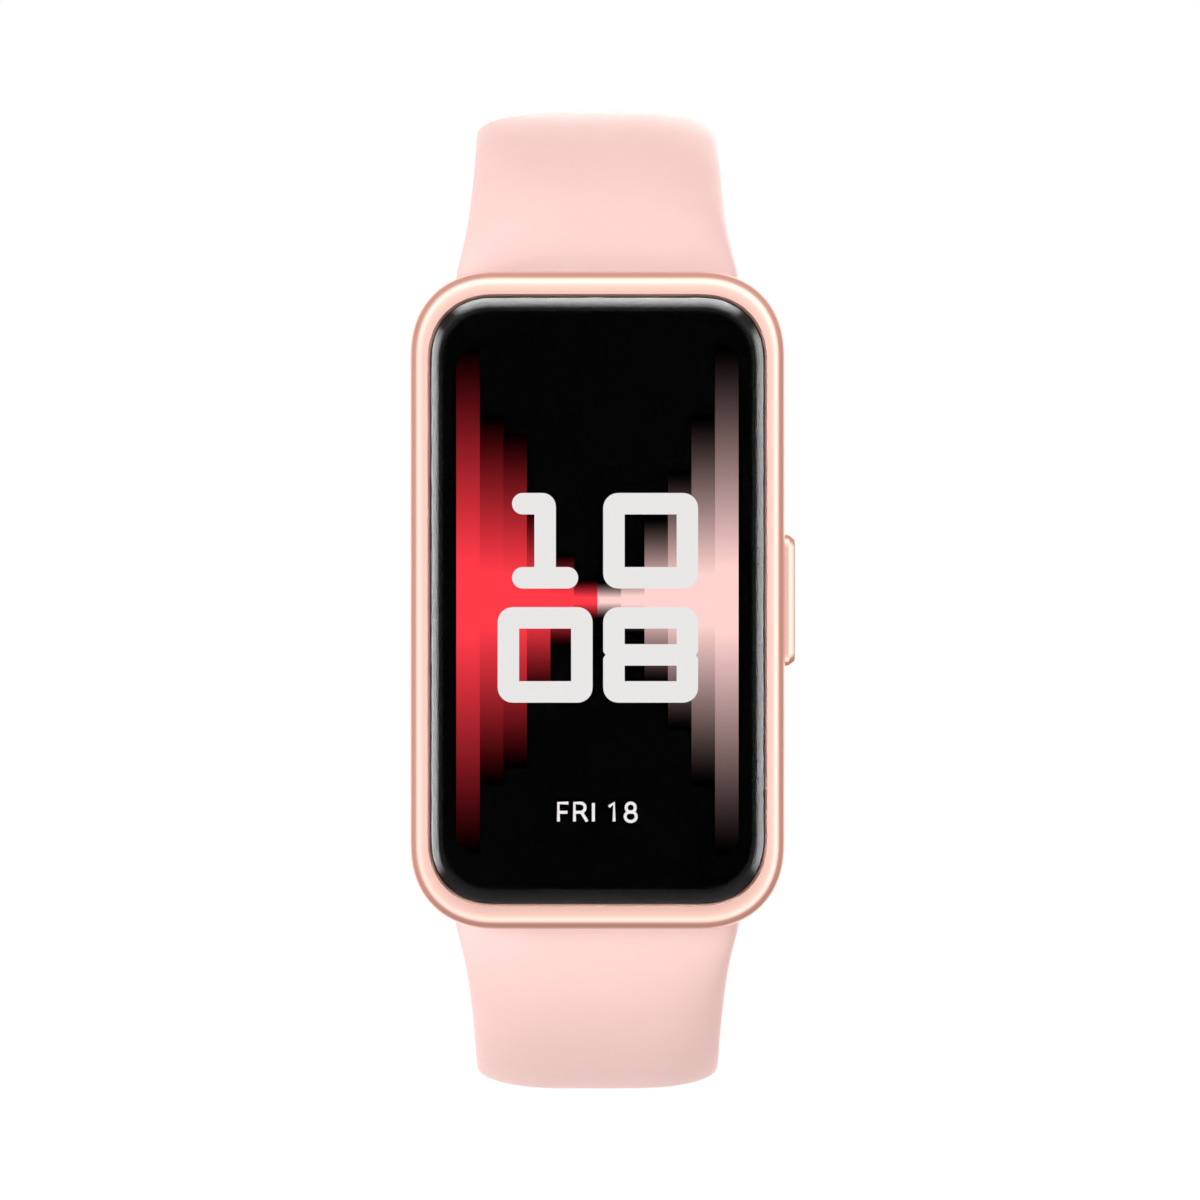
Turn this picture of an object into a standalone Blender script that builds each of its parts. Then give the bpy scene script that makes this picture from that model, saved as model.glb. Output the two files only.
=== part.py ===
"""Slim fitness tracker band, buckled as it is worn.

+X points to the side button, +Z to twelve o'clock, and the display faces -Y.
The origin is the middle of the flat rear face of the sensor window, which rests on the wrist.
Every length is in metres.
"""

import math

import bmesh
import bpy
from mathutils import Vector

MM = 0.001

# The case: half sizes of its outline, and the depths of its faces along Y.
CASE_HALF_X = 12.40 * MM
CASE_HALF_Z = 21.75 * MM
CASE_CORNER = 5.7 * MM
CASE_FRONT_Y = -8.32 * MM
CASE_REAR_Y = -1.75 * MM

# The cover glass, whose middle is the foremost point of the band.
GLASS_HALF_X = 11.16 * MM
GLASS_HALF_Z = 20.17 * MM
GLASS_CORNER = 4.45 * MM
GLASS_FRONT_Y = -8.99 * MM
GLASS_REAR_Y = -7.72 * MM
GLASS_GAP = 0.05 * MM
LEDGE_Y = -7.45 * MM

# The display and the plate behind it.
DISPLAY_HALF_X = 9.8 * MM
DISPLAY_HALF_Z = 18.3 * MM
DISPLAY_FRONT_Y = -7.66 * MM
DISPLAY_REAR_Y = -6.82 * MM
PLATE_FRONT_Y = -6.75 * MM
PLATE_REAR_Y = -6.15 * MM
PLATE_SEAT_Y = -6.10 * MM

# The inside of the case, as (half_x, half_z, corner radius), and the depths of its steps.
DISPLAY_POCKET = (10.0 * MM, 18.6 * MM, 3.0 * MM)
FRONT_CAVITY = (9.2 * MM, 15.2 * MM, 1.5 * MM)
REAR_CAVITY = (10.4 * MM, 15.4 * MM, 2.0 * MM)
REAR_REBATE = (11.3 * MM, 16.4 * MM, 3.2 * MM)
CAVITY_STEP_Y = -5.25 * MM
REBATE_Y = -2.35 * MM
SCREW_X = 7.8 * MM
SCREW_Z = 16.2 * MM
SCREW_HOLE = 0.5 * MM
SCREW_HOLE_END_Y = -4.75 * MM
PAST = 0.5 * MM  # how far a cutter runs on past the face that it opens

# The channel at each end of the case that holds a strap, and the pivot in it.
CHANNEL_HALF_X = 9.65 * MM
CHANNEL_INNER_Z = 17.0 * MM
CHANNEL_ROOF_Y = -5.3 * MM
PIVOT_Y = -3.2 * MM
PIVOT_Z = 19.0 * MM
PIVOT_HOLE = 0.5 * MM
PIVOT_HOLE_END_X = 10.75 * MM

# The rear cover, with its sensor window, the room behind it, and the two charging contacts.
COVER_FRONT_Y = -2.0 * MM
WINDOW_POCKET = (6.5 * MM, 8.5 * MM, 3.3 * MM)
WINDOW_OPENING = (5.8 * MM, 7.8 * MM, 2.8 * MM)
WINDOW_SEAT_Y = -0.8 * MM
SENSOR_ROOM = (8.2 * MM, 10.4 * MM, 3.0 * MM)
SENSOR_ROOM_Y = -1.45 * MM
SENSOR_FRONT_Y = -1.63 * MM
CONTACT_X = 2.54 * MM
CONTACT_Z = -13.6 * MM
CONTACT_RADIUS = 0.8 * MM
CONTACT_HOLE = 0.86 * MM

# The side button.
BUTTON_Y = -5.2 * MM
BUTTON_HALF_Y = 1.0 * MM
BUTTON_HALF_Z = 4.45 * MM
BUTTON_FACE_X = 13.07 * MM
BUTTON_BACK_X = 11.85 * MM
BUTTON_GAP = 0.12 * MM
BUTTON_POCKET_X = 11.5 * MM
STEM_HOLE = 0.75 * MM
CLIP_ROOM_X = 10.95 * MM
CLIP_ROOM_HALF_Y = 1.3 * MM
CLIP_ROOM_HALF_Z = 1.6 * MM

# The closed loop of the straps. Its middle line is three arcs on each side,
# given by the direction of their outward normals, measured from +Z towards +Y.
LUG_ANGLE = math.radians(-52.0)
BACK_ANGLE = math.radians(55.0)
LOOP_REACH_Z = 31.6 * MM
SIDE_RADIUS = 16.8 * MM
FRONT_RADIUS = (LOOP_REACH_Z - PIVOT_Z) / (1.0 - math.cos(LUG_ANGLE))
FRONT_CENTRE = (PIVOT_Y - FRONT_RADIUS * math.sin(LUG_ANGLE), LOOP_REACH_Z - FRONT_RADIUS)
SIDE_CENTRE = (FRONT_CENTRE[0], LOOP_REACH_Z - SIDE_RADIUS)
BACK_RADIUS = SIDE_RADIUS + SIDE_CENTRE[1] / math.cos(BACK_ANGLE)
BACK_CENTRE = (SIDE_CENTRE[0] - (BACK_RADIUS - SIDE_RADIUS) * math.sin(BACK_ANGLE), 0.0)
FRONT_LENGTH = -FRONT_RADIUS * LUG_ANGLE
SIDE_LENGTH = SIDE_RADIUS * BACK_ANGLE
HALF_LOOP = FRONT_LENGTH + SIDE_LENGTH + BACK_RADIUS * (math.pi / 2 - BACK_ANGLE)

# The strap's section.
STRAP_HALF_WIDTH = 8.0 * MM
STRAP_FLARE = 1.4 * MM
FLARE_START = 3.6 * MM
FLARE_FADE = 6.9 * MM
LUG_HALF_THICK = 1.7 * MM
LUG_BORE = 0.86 * MM
SIDE_HALF_THICK = 1.1 * MM
BACK_HALF_THICK = 0.95 * MM

# The buckle, with lengths along the loop from its rearmost point.
BAR_AT = 3.0 * MM
BAR_RADIUS = 0.5 * MM
BAR_HALF_X = 9.3 * MM
BAR_BORE = 0.56 * MM
KNUCKLE_HALF_THICK = 1.1 * MM
CROSSBAR_AT = 5.6 * MM
CROSSBAR_RADIUS = 0.75 * MM
CROSSBAR_LIFT = 2.95 * MM
CROSSBAR_NOTCH = 0.4 * MM
NOTCH_HALF_X = 1.05 * MM
FRAME_HALF_X = 10.0 * MM
FRAME_WINDOW_HALF_X = 8.4 * MM
FRAME_HALF_THICK = 0.8 * MM
TONGUE_HALF_X = 0.8 * MM
TONGUE_HALF_THICK = 0.45 * MM
TONGUE_EYE = 1.05 * MM
TONGUE_REST_GAP = 0.16 * MM

# The lower strap rises over the end of the upper one between these places,
# and its free end runs on outside the upper strap.
RAMP_START = HALF_LOOP - 9.0 * MM
RAMP_END = HALF_LOOP + 1.5 * MM
OVERLAP_LIFT = 2.2 * MM
LOWER_LENGTH = HALF_LOOP + 31.5 * MM
TIP_LENGTH = 6.0 * MM
HOLE_AT = HALF_LOOP - 1.06 * MM
HOLE_LENGTH = 4.6 * MM
HOLE_WIDTH = 2.1 * MM
HOLE_SIDE = 0.05 * MM  # half of the straight stretch between a hole's rounded corners
HOLE_PITCH = 7.0 * MM
HOLES_BEFORE = 5
HOLES_AFTER = 3

# The keeper, a loop of the same silicone round both straps.
KEEPER_AT = 14.0 * MM
KEEPER_LENGTH = 5.5 * MM
KEEPER_WALL = 0.9 * MM
KEEPER_GAP = 0.22 * MM

# The spring bars: a tube with a fixed tip, and a sprung pin with a thumb knob.
TUBE_RADIUS = 0.75 * MM
TUBE_BORE = 0.5 * MM
TUBE_HALF_X = 9.4 * MM
TUBE_BOTTOM_X = -7.5 * MM
TIP_RADIUS = 0.42 * MM
TIP_X = 10.5 * MM
PIN_START_X = 2.0 * MM
KNOB_X = 6.4 * MM

# The vibration motor, with depths along Y.
MOTOR_X = -5.6 * MM
MOTOR_Z = 10.0 * MM
MOTOR_RADIUS = 3.7 * MM
MOTOR_WALL = 0.25 * MM
MOTOR_BASE_Y = -4.15 * MM
MOTOR_FLOOR_Y = -3.95 * MM
MOTOR_LID_Y = -2.42 * MM
SHAFT_RADIUS = 0.4 * MM
SHAFT_END_Y = -2.5 * MM
WEIGHT_FRONT_Y = -3.6 * MM
WEIGHT_REAR_Y = -2.8 * MM
WEIGHT_RADIUS = 3.1 * MM
WEIGHT_HUB = 0.95 * MM
WEIGHT_BORE = 0.5 * MM

# Finishes: base colour, roughness, metallic.
ROSE_METAL = ((0.93, 0.66, 0.58), 0.26, 1.0)
PINK_SILICONE = ((0.94, 0.72, 0.69), 0.55, 0.0)
PINK_PLASTIC = ((0.93, 0.70, 0.64), 0.40, 0.0)
BLACK_GLASS = ((0.01, 0.01, 0.012), 0.05, 0.0)
BLACK_PLASTIC = ((0.02, 0.02, 0.022), 0.45, 0.0)
DARK_RUBBER = ((0.03, 0.03, 0.03), 0.80, 0.0)
STEEL = ((0.62, 0.62, 0.64), 0.28, 1.0)
GOLD = ((0.95, 0.72, 0.32), 0.25, 1.0)
BOARD_GREEN = ((0.02, 0.14, 0.08), 0.50, 0.0)
FLEX_AMBER = ((0.55, 0.28, 0.06), 0.45, 0.0)
POUCH_GREY = ((0.55, 0.56, 0.58), 0.35, 0.6)
CHIP_BLACK = ((0.025, 0.025, 0.028), 0.60, 0.0)
LED_GREEN = ((0.25, 0.80, 0.35), 0.30, 0.0)
DIODE_BLUE = ((0.06, 0.07, 0.16), 0.20, 0.0)

CORNER_STEPS = 5
CASE_CORNER_STEPS = 9
CASE_CORNER_POWER = 2.25
ROUND_SIDES = 16
SMOOTH_BELOW = math.radians(32.0)


# ---------------------------------------------------------------- shapes


def loft(rings, joined=False):
    """Skins a row of rings of equal length. The ends are capped, or joined to each other."""
    bm = bmesh.new()
    rows = [[bm.verts.new(point) for point in ring] for ring in rings]
    pairs = list(zip(rows, rows[1:]))
    if joined:
        pairs.append((rows[-1], rows[0]))
    for first, second in pairs:
        for i in range(len(first)):
            j = (i + 1) % len(first)
            bm.faces.new((first[i], first[j], second[j], second[i]))
    if not joined:
        bm.faces.new(list(reversed(rows[0])))
        bm.faces.new(rows[-1])
    return bm


def rounded_outline(half_a, half_b, radius, steps=CORNER_STEPS, power=2.0):
    """A rounded rectangle about (0, 0), as (a, b) points. Its corners are arcs at a power of 2."""
    points = []
    corners = ((1, 1, 0.0), (-1, 1, 90.0), (-1, -1, 180.0), (1, -1, 270.0))
    for sign_a, sign_b, start in corners:
        for step in range(steps + 1):
            angle = math.radians(start + 90.0 * step / steps)
            across = abs(math.cos(angle)) ** (2.0 / power)
            along = abs(math.sin(angle)) ** (2.0 / power)
            points.append(
                (
                    sign_a * (half_a - radius + radius * across),
                    sign_b * (half_b - radius + radius * along),
                )
            )
    return points


def face_ring(half_x, half_z, radius, y, centre=(0.0, 0.0)):
    """A rounded rectangle parallel to the display, at depth y."""
    outline = rounded_outline(half_x, half_z, radius)
    return [(centre[0] + x, y, centre[1] + z) for x, z in outline]


def slab(half_x, half_z, radius, front_y, rear_y, centre=(0.0, 0.0)):
    """A rounded plate parallel to the display."""
    return loft([face_ring(half_x, half_z, radius, y, centre) for y in (front_y, rear_y)])


def stepped(half_x, half_z, radius, profile):
    """The case's rounded shape. profile holds (inset from its outline, depth y)."""
    rings = []
    for inset, y in profile:
        outline = rounded_outline(
            half_x - inset, half_z - inset, radius - inset, CASE_CORNER_STEPS, CASE_CORNER_POWER
        )
        rings.append([(x, y, z) for x, z in outline])
    return loft(rings)


def frame_slab(outer, inner, front_y, rear_y):
    """A flat frame parallel to the display. outer and inner are (half_x, half_z, radius)."""
    rings = [
        face_ring(*outer, front_y),
        face_ring(*outer, rear_y),
        face_ring(*inner, rear_y),
        face_ring(*inner, front_y),
    ]
    return loft(rings, joined=True)


def cross_axes(axis):
    """Two directions square to axis and to each other."""
    axis = Vector(axis).normalized()
    first = axis.orthogonal().normalized()
    return axis, first, axis.cross(first)


def turned(profile, origin, axis, sides=ROUND_SIDES, joined=False):
    """A solid turned about an axis through origin. profile holds (distance along it, radius)."""
    along, first, second = cross_axes(axis)
    rings = []
    for distance, radius in profile:
        middle = Vector(origin) + along * distance
        ring = []
        for side in range(sides):
            angle = 2.0 * math.pi * side / sides
            ring.append(middle + radius * (math.cos(angle) * first + math.sin(angle) * second))
        rings.append(ring)
    return loft(rings, joined)


def rod(start, end, radius, sides=ROUND_SIDES):
    length = (Vector(end) - Vector(start)).length
    return turned([(0.0, radius), (length, radius)], start, Vector(end) - Vector(start), sides)


def block(low, high):
    """A plain box between two corners."""
    (x0, y0, z0), (x1, y1, z1) = low, high
    return loft([[(x0, y, z0), (x1, y, z0), (x1, y, z1), (x0, y, z1)] for y in (y0, y1)])


def ribbon(outline, x0, x1):
    """An outline of (y, z) points drawn out along X."""
    return loft([[(x, y, z) for y, z in outline] for x in (x0, x1)])


def mixed(start, end, share):
    return start + (end - start) * share


def arc_points(centre_a, centre_b, radius, start, end, steps):
    """Points (a, b) along an arc, between two angles in degrees."""
    points = []
    for step in range(steps + 1):
        angle = math.radians(mixed(start, end, step / steps))
        points.append((centre_a + radius * math.cos(angle), centre_b + radius * math.sin(angle)))
    return points


def direction_to(start, end):
    """A unit step from start to end and one square to it on the outer side, as (y, z)."""
    length = math.hypot(end[0] - start[0], end[1] - start[1])
    forward = ((end[0] - start[0]) / length, (end[1] - start[1]) / length)
    return forward, (-forward[1], forward[0]), length


def point_from(x, along, lift, start, forward, outward):
    """A place at x, so far along forward and outward from start."""
    y = start[0] + along * forward[0] + lift * outward[0]
    z = start[1] + along * forward[1] + lift * outward[1]
    return (x, y, z)


def merged(parts):
    """Several shapes that don't touch, in one bmesh."""
    whole = bmesh.new()
    for bm in parts:
        mesh = bpy.data.meshes.new("part")
        bmesh.ops.recalc_face_normals(bm, faces=bm.faces)
        bm.to_mesh(mesh)
        bm.free()
        whole.from_mesh(mesh)
        bpy.data.meshes.remove(mesh)
    return whole


# ---------------------------------------------------------------- objects


def finish_material(name, finish):
    colour, roughness, metallic = finish
    material = bpy.data.materials.new(name)
    material.use_nodes = True
    shader = material.node_tree.nodes["Principled BSDF"]
    shader.inputs["Base Color"].default_value = (*colour, 1.0)
    shader.inputs["Roughness"].default_value = roughness
    shader.inputs["Metallic"].default_value = metallic
    material.diffuse_color = (*colour, 1.0)
    return material


def place(name, bm, pivot=(0.0, 0.0, 0.0)):
    """Makes an object of a bmesh drawn in the band's frame, with its origin at pivot."""
    bmesh.ops.recalc_face_normals(bm, faces=bm.faces)
    bmesh.ops.translate(bm, vec=-Vector(pivot), verts=bm.verts)
    mesh = bpy.data.meshes.new(name)
    bm.to_mesh(mesh)
    bm.free()
    obj = bpy.data.objects.new(name, mesh)
    obj.location = pivot
    bpy.context.scene.collection.objects.link(obj)
    return obj


def add_part(name, bm, finish, pivot=(0.0, 0.0, 0.0)):
    obj = place(name, bm, pivot)
    obj.data.materials.append(finish_material(name, finish))
    obj.data.shade_smooth()
    obj.data.set_sharp_from_angle(angle=SMOOTH_BELOW)
    return obj


def combine(obj, bm, operation, label):
    """Adds a Boolean of obj with a helper object."""
    helper = place(f"{obj.name}_{label}", bm)
    helper.hide_render = True
    helper.display_type = "WIRE"
    modifier = obj.modifiers.new(label, "BOOLEAN")
    modifier.operation = operation
    modifier.object = helper


def cut(obj, bm, label):
    combine(obj, bm, "DIFFERENCE", label)


def fuse(obj, bm, label):
    combine(obj, bm, "UNION", label)


# ---------------------------------------------------------------- case


def mirrored_places(x, z):
    """The four places at (x, z) and its mirror images."""
    return [(side_x * x, side_z * z) for side_x in (1, -1) for side_z in (1, -1)]


def button_hole_shapes():
    """The pocket for the button, the hole for its stem, and room for its clip."""
    half_y, half_z = BUTTON_HALF_Y + BUTTON_GAP, BUTTON_HALF_Z + BUTTON_GAP
    outline = [(BUTTON_Y + y, z) for y, z in rounded_outline(half_y, half_z, BUTTON_HALF_Y)]
    pocket = ribbon(outline, BUTTON_POCKET_X, CASE_HALF_X + 2.0 * PAST)
    inside_x = REAR_CAVITY[0] - PAST
    stem = rod((inside_x, BUTTON_Y, 0.0), (BUTTON_POCKET_X + PAST, BUTTON_Y, 0.0), STEM_HOLE)
    clip_room = block(
        (inside_x, BUTTON_Y - CLIP_ROOM_HALF_Y, -CLIP_ROOM_HALF_Z),
        (CLIP_ROOM_X, BUTTON_Y + CLIP_ROOM_HALF_Y, CLIP_ROOM_HALF_Z),
    )
    return pocket, stem, clip_room


def strap_channels():
    """The open channel at each end of the case, on its rear side."""
    outer_z = CASE_HALF_Z + 2.0 * PAST
    rear_y = CASE_REAR_Y + PAST
    upper = block(
        (-CHANNEL_HALF_X, CHANNEL_ROOF_Y, CHANNEL_INNER_Z), (CHANNEL_HALF_X, rear_y, outer_z)
    )
    lower = block(
        (-CHANNEL_HALF_X, CHANNEL_ROOF_Y, -outer_z), (CHANNEL_HALF_X, rear_y, -CHANNEL_INNER_Z)
    )
    return merged([upper, lower])


def pin_and_screw_holes():
    """Blind holes for the tips of the spring bars, and threaded ones for the chassis screws."""
    holes = []
    for x, z in mirrored_places(1.0, PIVOT_Z):
        start = (x * (CHANNEL_HALF_X - PAST), PIVOT_Y, z)
        holes.append(rod(start, (x * PIVOT_HOLE_END_X, PIVOT_Y, z), PIVOT_HOLE, 12))
    for x, z in mirrored_places(SCREW_X, SCREW_Z):
        start, end = (x, PLATE_SEAT_Y - PAST, z), (x, SCREW_HOLE_END_Y, z)
        holes.append(rod(start, end, SCREW_HOLE, 10))
    return merged(holes)


def make_case():
    profile = (
        (1.05 * MM, CASE_FRONT_Y),
        (0.45 * MM, -8.12 * MM),
        (0.12 * MM, -7.65 * MM),
        (0.0, -6.9 * MM),
        (0.0, -3.4 * MM),
        (0.15 * MM, -2.6 * MM),
        (0.45 * MM, -2.1 * MM),
        (0.80 * MM, CASE_REAR_Y),
    )
    shape = stepped(CASE_HALF_X, CASE_HALF_Z, CASE_CORNER, profile)
    case = add_part("case_frame", shape, ROSE_METAL)
    pocket = ((-GLASS_GAP, GLASS_FRONT_Y), (-GLASS_GAP, LEDGE_Y))
    cut(case, stepped(GLASS_HALF_X, GLASS_HALF_Z, GLASS_CORNER, pocket), "glass_pocket")
    cut(case, slab(*DISPLAY_POCKET, LEDGE_Y - PAST, PLATE_SEAT_Y), "display_pocket")
    cut(case, slab(*FRONT_CAVITY, PLATE_SEAT_Y - PAST, CAVITY_STEP_Y + PAST), "front_cavity")
    cut(case, slab(*REAR_CAVITY, CAVITY_STEP_Y, REBATE_Y + PAST), "rear_cavity")
    cut(case, slab(*REAR_REBATE, REBATE_Y, CASE_REAR_Y + PAST), "rear_rebate")
    cut(case, strap_channels(), "strap_channels")
    cut(case, pin_and_screw_holes(), "pin_and_screw_holes")
    for shape, label in zip(button_hole_shapes(), ("button_pocket", "stem_hole", "clip_room")):
        cut(case, shape, label)


def make_glass():
    edge = (
        (0.0, GLASS_REAR_Y),
        (0.0, -8.34 * MM),
        (0.12 * MM, -8.56 * MM),
        (0.36 * MM, -8.76 * MM),
        (0.85 * MM, -8.92 * MM),
        (1.7 * MM, GLASS_FRONT_Y),
    )
    shape = stepped(GLASS_HALF_X, GLASS_HALF_Z, GLASS_CORNER, edge)
    add_part("cover_glass", shape, BLACK_GLASS)


def make_display():
    add_part(
        "display_panel",
        slab(DISPLAY_HALF_X, DISPLAY_HALF_Z, 2.8 * MM, DISPLAY_FRONT_Y, DISPLAY_REAR_Y),
        BLACK_PLASTIC,
    )
    outer = (10.9 * MM, 20.0 * MM, 4.0 * MM)
    inner = (10.2 * MM, 18.85 * MM, 3.1 * MM)
    add_part(
        "display_gasket",
        frame_slab(outer, inner, GLASS_REAR_Y + 0.03 * MM, LEDGE_Y - 0.03 * MM),
        DARK_RUBBER,
    )


def make_chassis():
    plate = add_part(
        "chassis_plate",
        slab(9.8 * MM, 17.4 * MM, 2.0 * MM, PLATE_FRONT_Y, PLATE_REAR_Y),
        STEEL,
    )
    profile = [(0.0, 1.0), (0.65, 1.0), (0.65, 0.5), (2.0, 0.5)]
    profile = [(depth * MM, radius * MM) for depth, radius in profile]
    seats = [
        turned(profile, (x, PLATE_FRONT_Y - 0.3 * MM, z), (0, 1, 0), 12)
        for x, z in mirrored_places(SCREW_X, SCREW_Z)
    ]
    cut(plate, merged(seats), "screw_seats")
    slot = slab(3.4 * MM, 0.65 * MM, 0.3 * MM, -7.0 * MM, -6.0 * MM, (-2.0 * MM, 13.8 * MM))
    cut(plate, slot, "flex_slot")
    screw = [(0.0, 0.85), (0.27, 0.85), (0.27, 0.42), (1.75, 0.42)]
    screw = [(depth * MM, radius * MM) for depth, radius in screw]
    for x, z in mirrored_places(SCREW_X, SCREW_Z):
        label = ("upper_" if z > 0 else "lower_") + ("right" if x > 0 else "left")
        at = (x, PLATE_FRONT_Y + 0.03 * MM, z)
        add_part(f"chassis_screw_{label}", turned(screw, at, (0, 1, 0), 10), STEEL)


def make_rear_cover():
    front = COVER_FRONT_Y / MM
    steps = (
        (11.2, 16.3, 3.1, front),
        (11.2, 16.3, 3.1, -1.45),
        (10.9, 16.0, 3.2, -1.2),
        (9.6, 12.8, 4.5, -1.08),
        (8.6, 11.2, 4.6, -0.72),
        (7.5, 9.6, 4.0, -0.3),
    )
    rings = [face_ring(x * MM, z * MM, r * MM, y * MM) for x, z, r, y in steps]
    cover = add_part("rear_cover", loft(rings), PINK_PLASTIC)
    cut(cover, slab(*WINDOW_POCKET, WINDOW_SEAT_Y, PAST), "window_pocket")
    opening = slab(*WINDOW_OPENING, SENSOR_ROOM_Y - PAST, WINDOW_SEAT_Y + PAST)
    cut(cover, opening, "window_opening")
    cut(cover, slab(*SENSOR_ROOM, COVER_FRONT_Y - PAST, SENSOR_ROOM_Y), "sensor_room")
    holes = []
    for x in (CONTACT_X, -CONTACT_X):
        start, end = (x, COVER_FRONT_Y - PAST, CONTACT_Z), (x, WINDOW_SEAT_Y, CONTACT_Z)
        holes.append(rod(start, end, CONTACT_HOLE, 14))
    cut(cover, merged(holes), "contact_holes")
    outer = (11.15 * MM, 16.25 * MM, 3.1 * MM)
    inner = (10.6 * MM, 15.6 * MM, 2.6 * MM)
    seal = frame_slab(outer, inner, REBATE_Y + 0.03 * MM, COVER_FRONT_Y - 0.03 * MM)
    add_part("rear_seal", seal, DARK_RUBBER)


def make_sensor():
    edge = (6.42 * MM, 8.42 * MM, 3.2 * MM)
    window = [face_ring(*edge, -0.76 * MM), face_ring(*edge, -0.14 * MM)]
    window.append(face_ring(6.2 * MM, 8.2 * MM, 3.0 * MM, 0.0))
    add_part("sensor_window", loft(window), BLACK_GLASS)
    board = slab(5.5 * MM, 7.4 * MM, 1.5 * MM, -2.12 * MM, -1.66 * MM)
    add_part("sensor_board", board, BOARD_GREEN)
    corner = 0.15 * MM
    for label, x in (("left", -1.5 * MM), ("right", 1.5 * MM)):
        led = slab(0.8 * MM, 0.8 * MM, corner, SENSOR_FRONT_Y, -1.05 * MM, (x, 0.0))
        add_part(f"green_led_{label}", led, LED_GREEN)
    for label, z in (("upper", 4.6 * MM), ("lower", -4.6 * MM)):
        diode = slab(1.9 * MM, 1.1 * MM, corner, SENSOR_FRONT_Y, -1.1 * MM, (0.0, z))
        add_part(f"photodiode_{label}", diode, DIODE_BLUE)
    flange, thick = 1.15 * MM, 0.22 * MM
    profile = [(0.0, flange), (thick, flange), (thick, CONTACT_RADIUS), (1.17 * MM, CONTACT_RADIUS)]
    for label, x in (("left", -CONTACT_X), ("right", CONTACT_X)):
        pin = turned(profile, (x, -2.25 * MM, CONTACT_Z), (0, 1, 0), 14)
        add_part(f"charge_contact_{label}", pin, GOLD)
    flex = ((-4.17, 4.6), (-4.17, 6.6), (-2.15, 6.6), (-2.15, 4.6))
    inside = ((-2.3, 4.6), (-2.3, 6.45), (-4.02, 6.45), (-4.02, 4.6))
    outline = [(y * MM, z * MM) for y, z in flex + inside]
    add_part("sensor_flex", ribbon(outline, 0.6 * MM, 4.2 * MM), FLEX_AMBER)


def make_board():
    board = slab(10.1 * MM, 5.8 * MM, 2.0 * MM, -4.9 * MM, -4.2 * MM, (0.0, 9.3 * MM))
    add_part("main_board", board, BOARD_GREEN)
    middle = (-1.6 * MM, 8.8 * MM)
    shield = [
        face_ring(4.25 * MM, 3.95 * MM, 0.3 * MM, -5.75 * MM, middle),
        face_ring(4.25 * MM, 3.95 * MM, 0.3 * MM, -4.93 * MM, middle),
        face_ring(4.4 * MM, 4.1 * MM, 0.4 * MM, -4.93 * MM, middle),
        face_ring(4.4 * MM, 4.1 * MM, 0.4 * MM, -5.9 * MM, middle),
    ]
    add_part("processor_shield", loft(shield), STEEL)
    chips = (
        ("processor_chip", (-1.6, 8.8), (2.6, 2.6), -5.6),
        ("memory_chip", (5.6, 8.2), (2.0, 2.4), -5.6),
        ("motion_sensor_chip", (5.4, 12.6), (1.3, 1.1), -5.5),
    )
    for name, (x, z), (half_x, half_z), front in chips:
        chip = slab(half_x * MM, half_z * MM, 0.15 * MM, front * MM, -4.93 * MM, (x * MM, z * MM))
        add_part(name, chip, CHIP_BLACK)
    outer = ((-6.78, 13.4), (-6.78, 14.25), (-4.94, 14.25), (-4.94, 13.4))
    inner = ((-5.09, 13.4), (-5.09, 14.1), (-6.63, 14.1), (-6.63, 13.4))
    outline = [(y * MM, z * MM) for y, z in outer + inner]
    add_part("display_flex", ribbon(outline, -5.0 * MM, 1.0 * MM), FLEX_AMBER)
    strip = block((-7.5 * MM, -4.0 * MM, 15.17 * MM), (7.5 * MM, -2.5 * MM, 15.34 * MM))
    add_part("antenna_strip", strip, GOLD)
    cell = slab(8.6 * MM, 8.9 * MM, 0.8 * MM, -5.95 * MM, -2.75 * MM, (0.0, -6.0 * MM))
    add_part("battery", cell, POUCH_GREY)


def make_motor():
    """A coin motor: a base with its fixed shaft, a can, and the eccentric weight that spins."""
    centre = (MOTOR_X, 0.0, MOTOR_Z)
    base = [
        (MOTOR_BASE_Y, MOTOR_RADIUS),
        (MOTOR_FLOOR_Y, MOTOR_RADIUS),
        (MOTOR_FLOOR_Y, SHAFT_RADIUS),
        (SHAFT_END_Y, SHAFT_RADIUS),
    ]
    add_part("motor_base", turned(base, centre, (0, 1, 0), 20), STEEL)
    can = [
        (MOTOR_LID_Y, MOTOR_RADIUS - MOTOR_WALL),
        (MOTOR_FLOOR_Y + 0.03 * MM, MOTOR_RADIUS - MOTOR_WALL),
        (MOTOR_FLOOR_Y + 0.03 * MM, MOTOR_RADIUS),
        (MOTOR_LID_Y + 0.23 * MM, MOTOR_RADIUS),
    ]
    add_part("motor_can", turned(can, centre, (0, 1, 0), 20), STEEL)
    outline = arc_points(MOTOR_X, MOTOR_Z, WEIGHT_RADIUS, 180.0, 360.0, 12)
    outline += arc_points(MOTOR_X, MOTOR_Z, WEIGHT_HUB, 0.0, 180.0, 8)
    weight = loft([[(x, y, z) for x, z in outline] for y in (WEIGHT_FRONT_Y, WEIGHT_REAR_Y)])
    middle_y = (WEIGHT_FRONT_Y + WEIGHT_REAR_Y) / 2
    weight = add_part("motor_weight", weight, STEEL, (MOTOR_X, middle_y, MOTOR_Z))
    start, end = (MOTOR_X, WEIGHT_FRONT_Y - PAST, MOTOR_Z), (MOTOR_X, WEIGHT_REAR_Y + PAST, MOTOR_Z)
    cut(weight, rod(start, end, WEIGHT_BORE), "shaft_bore")


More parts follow.
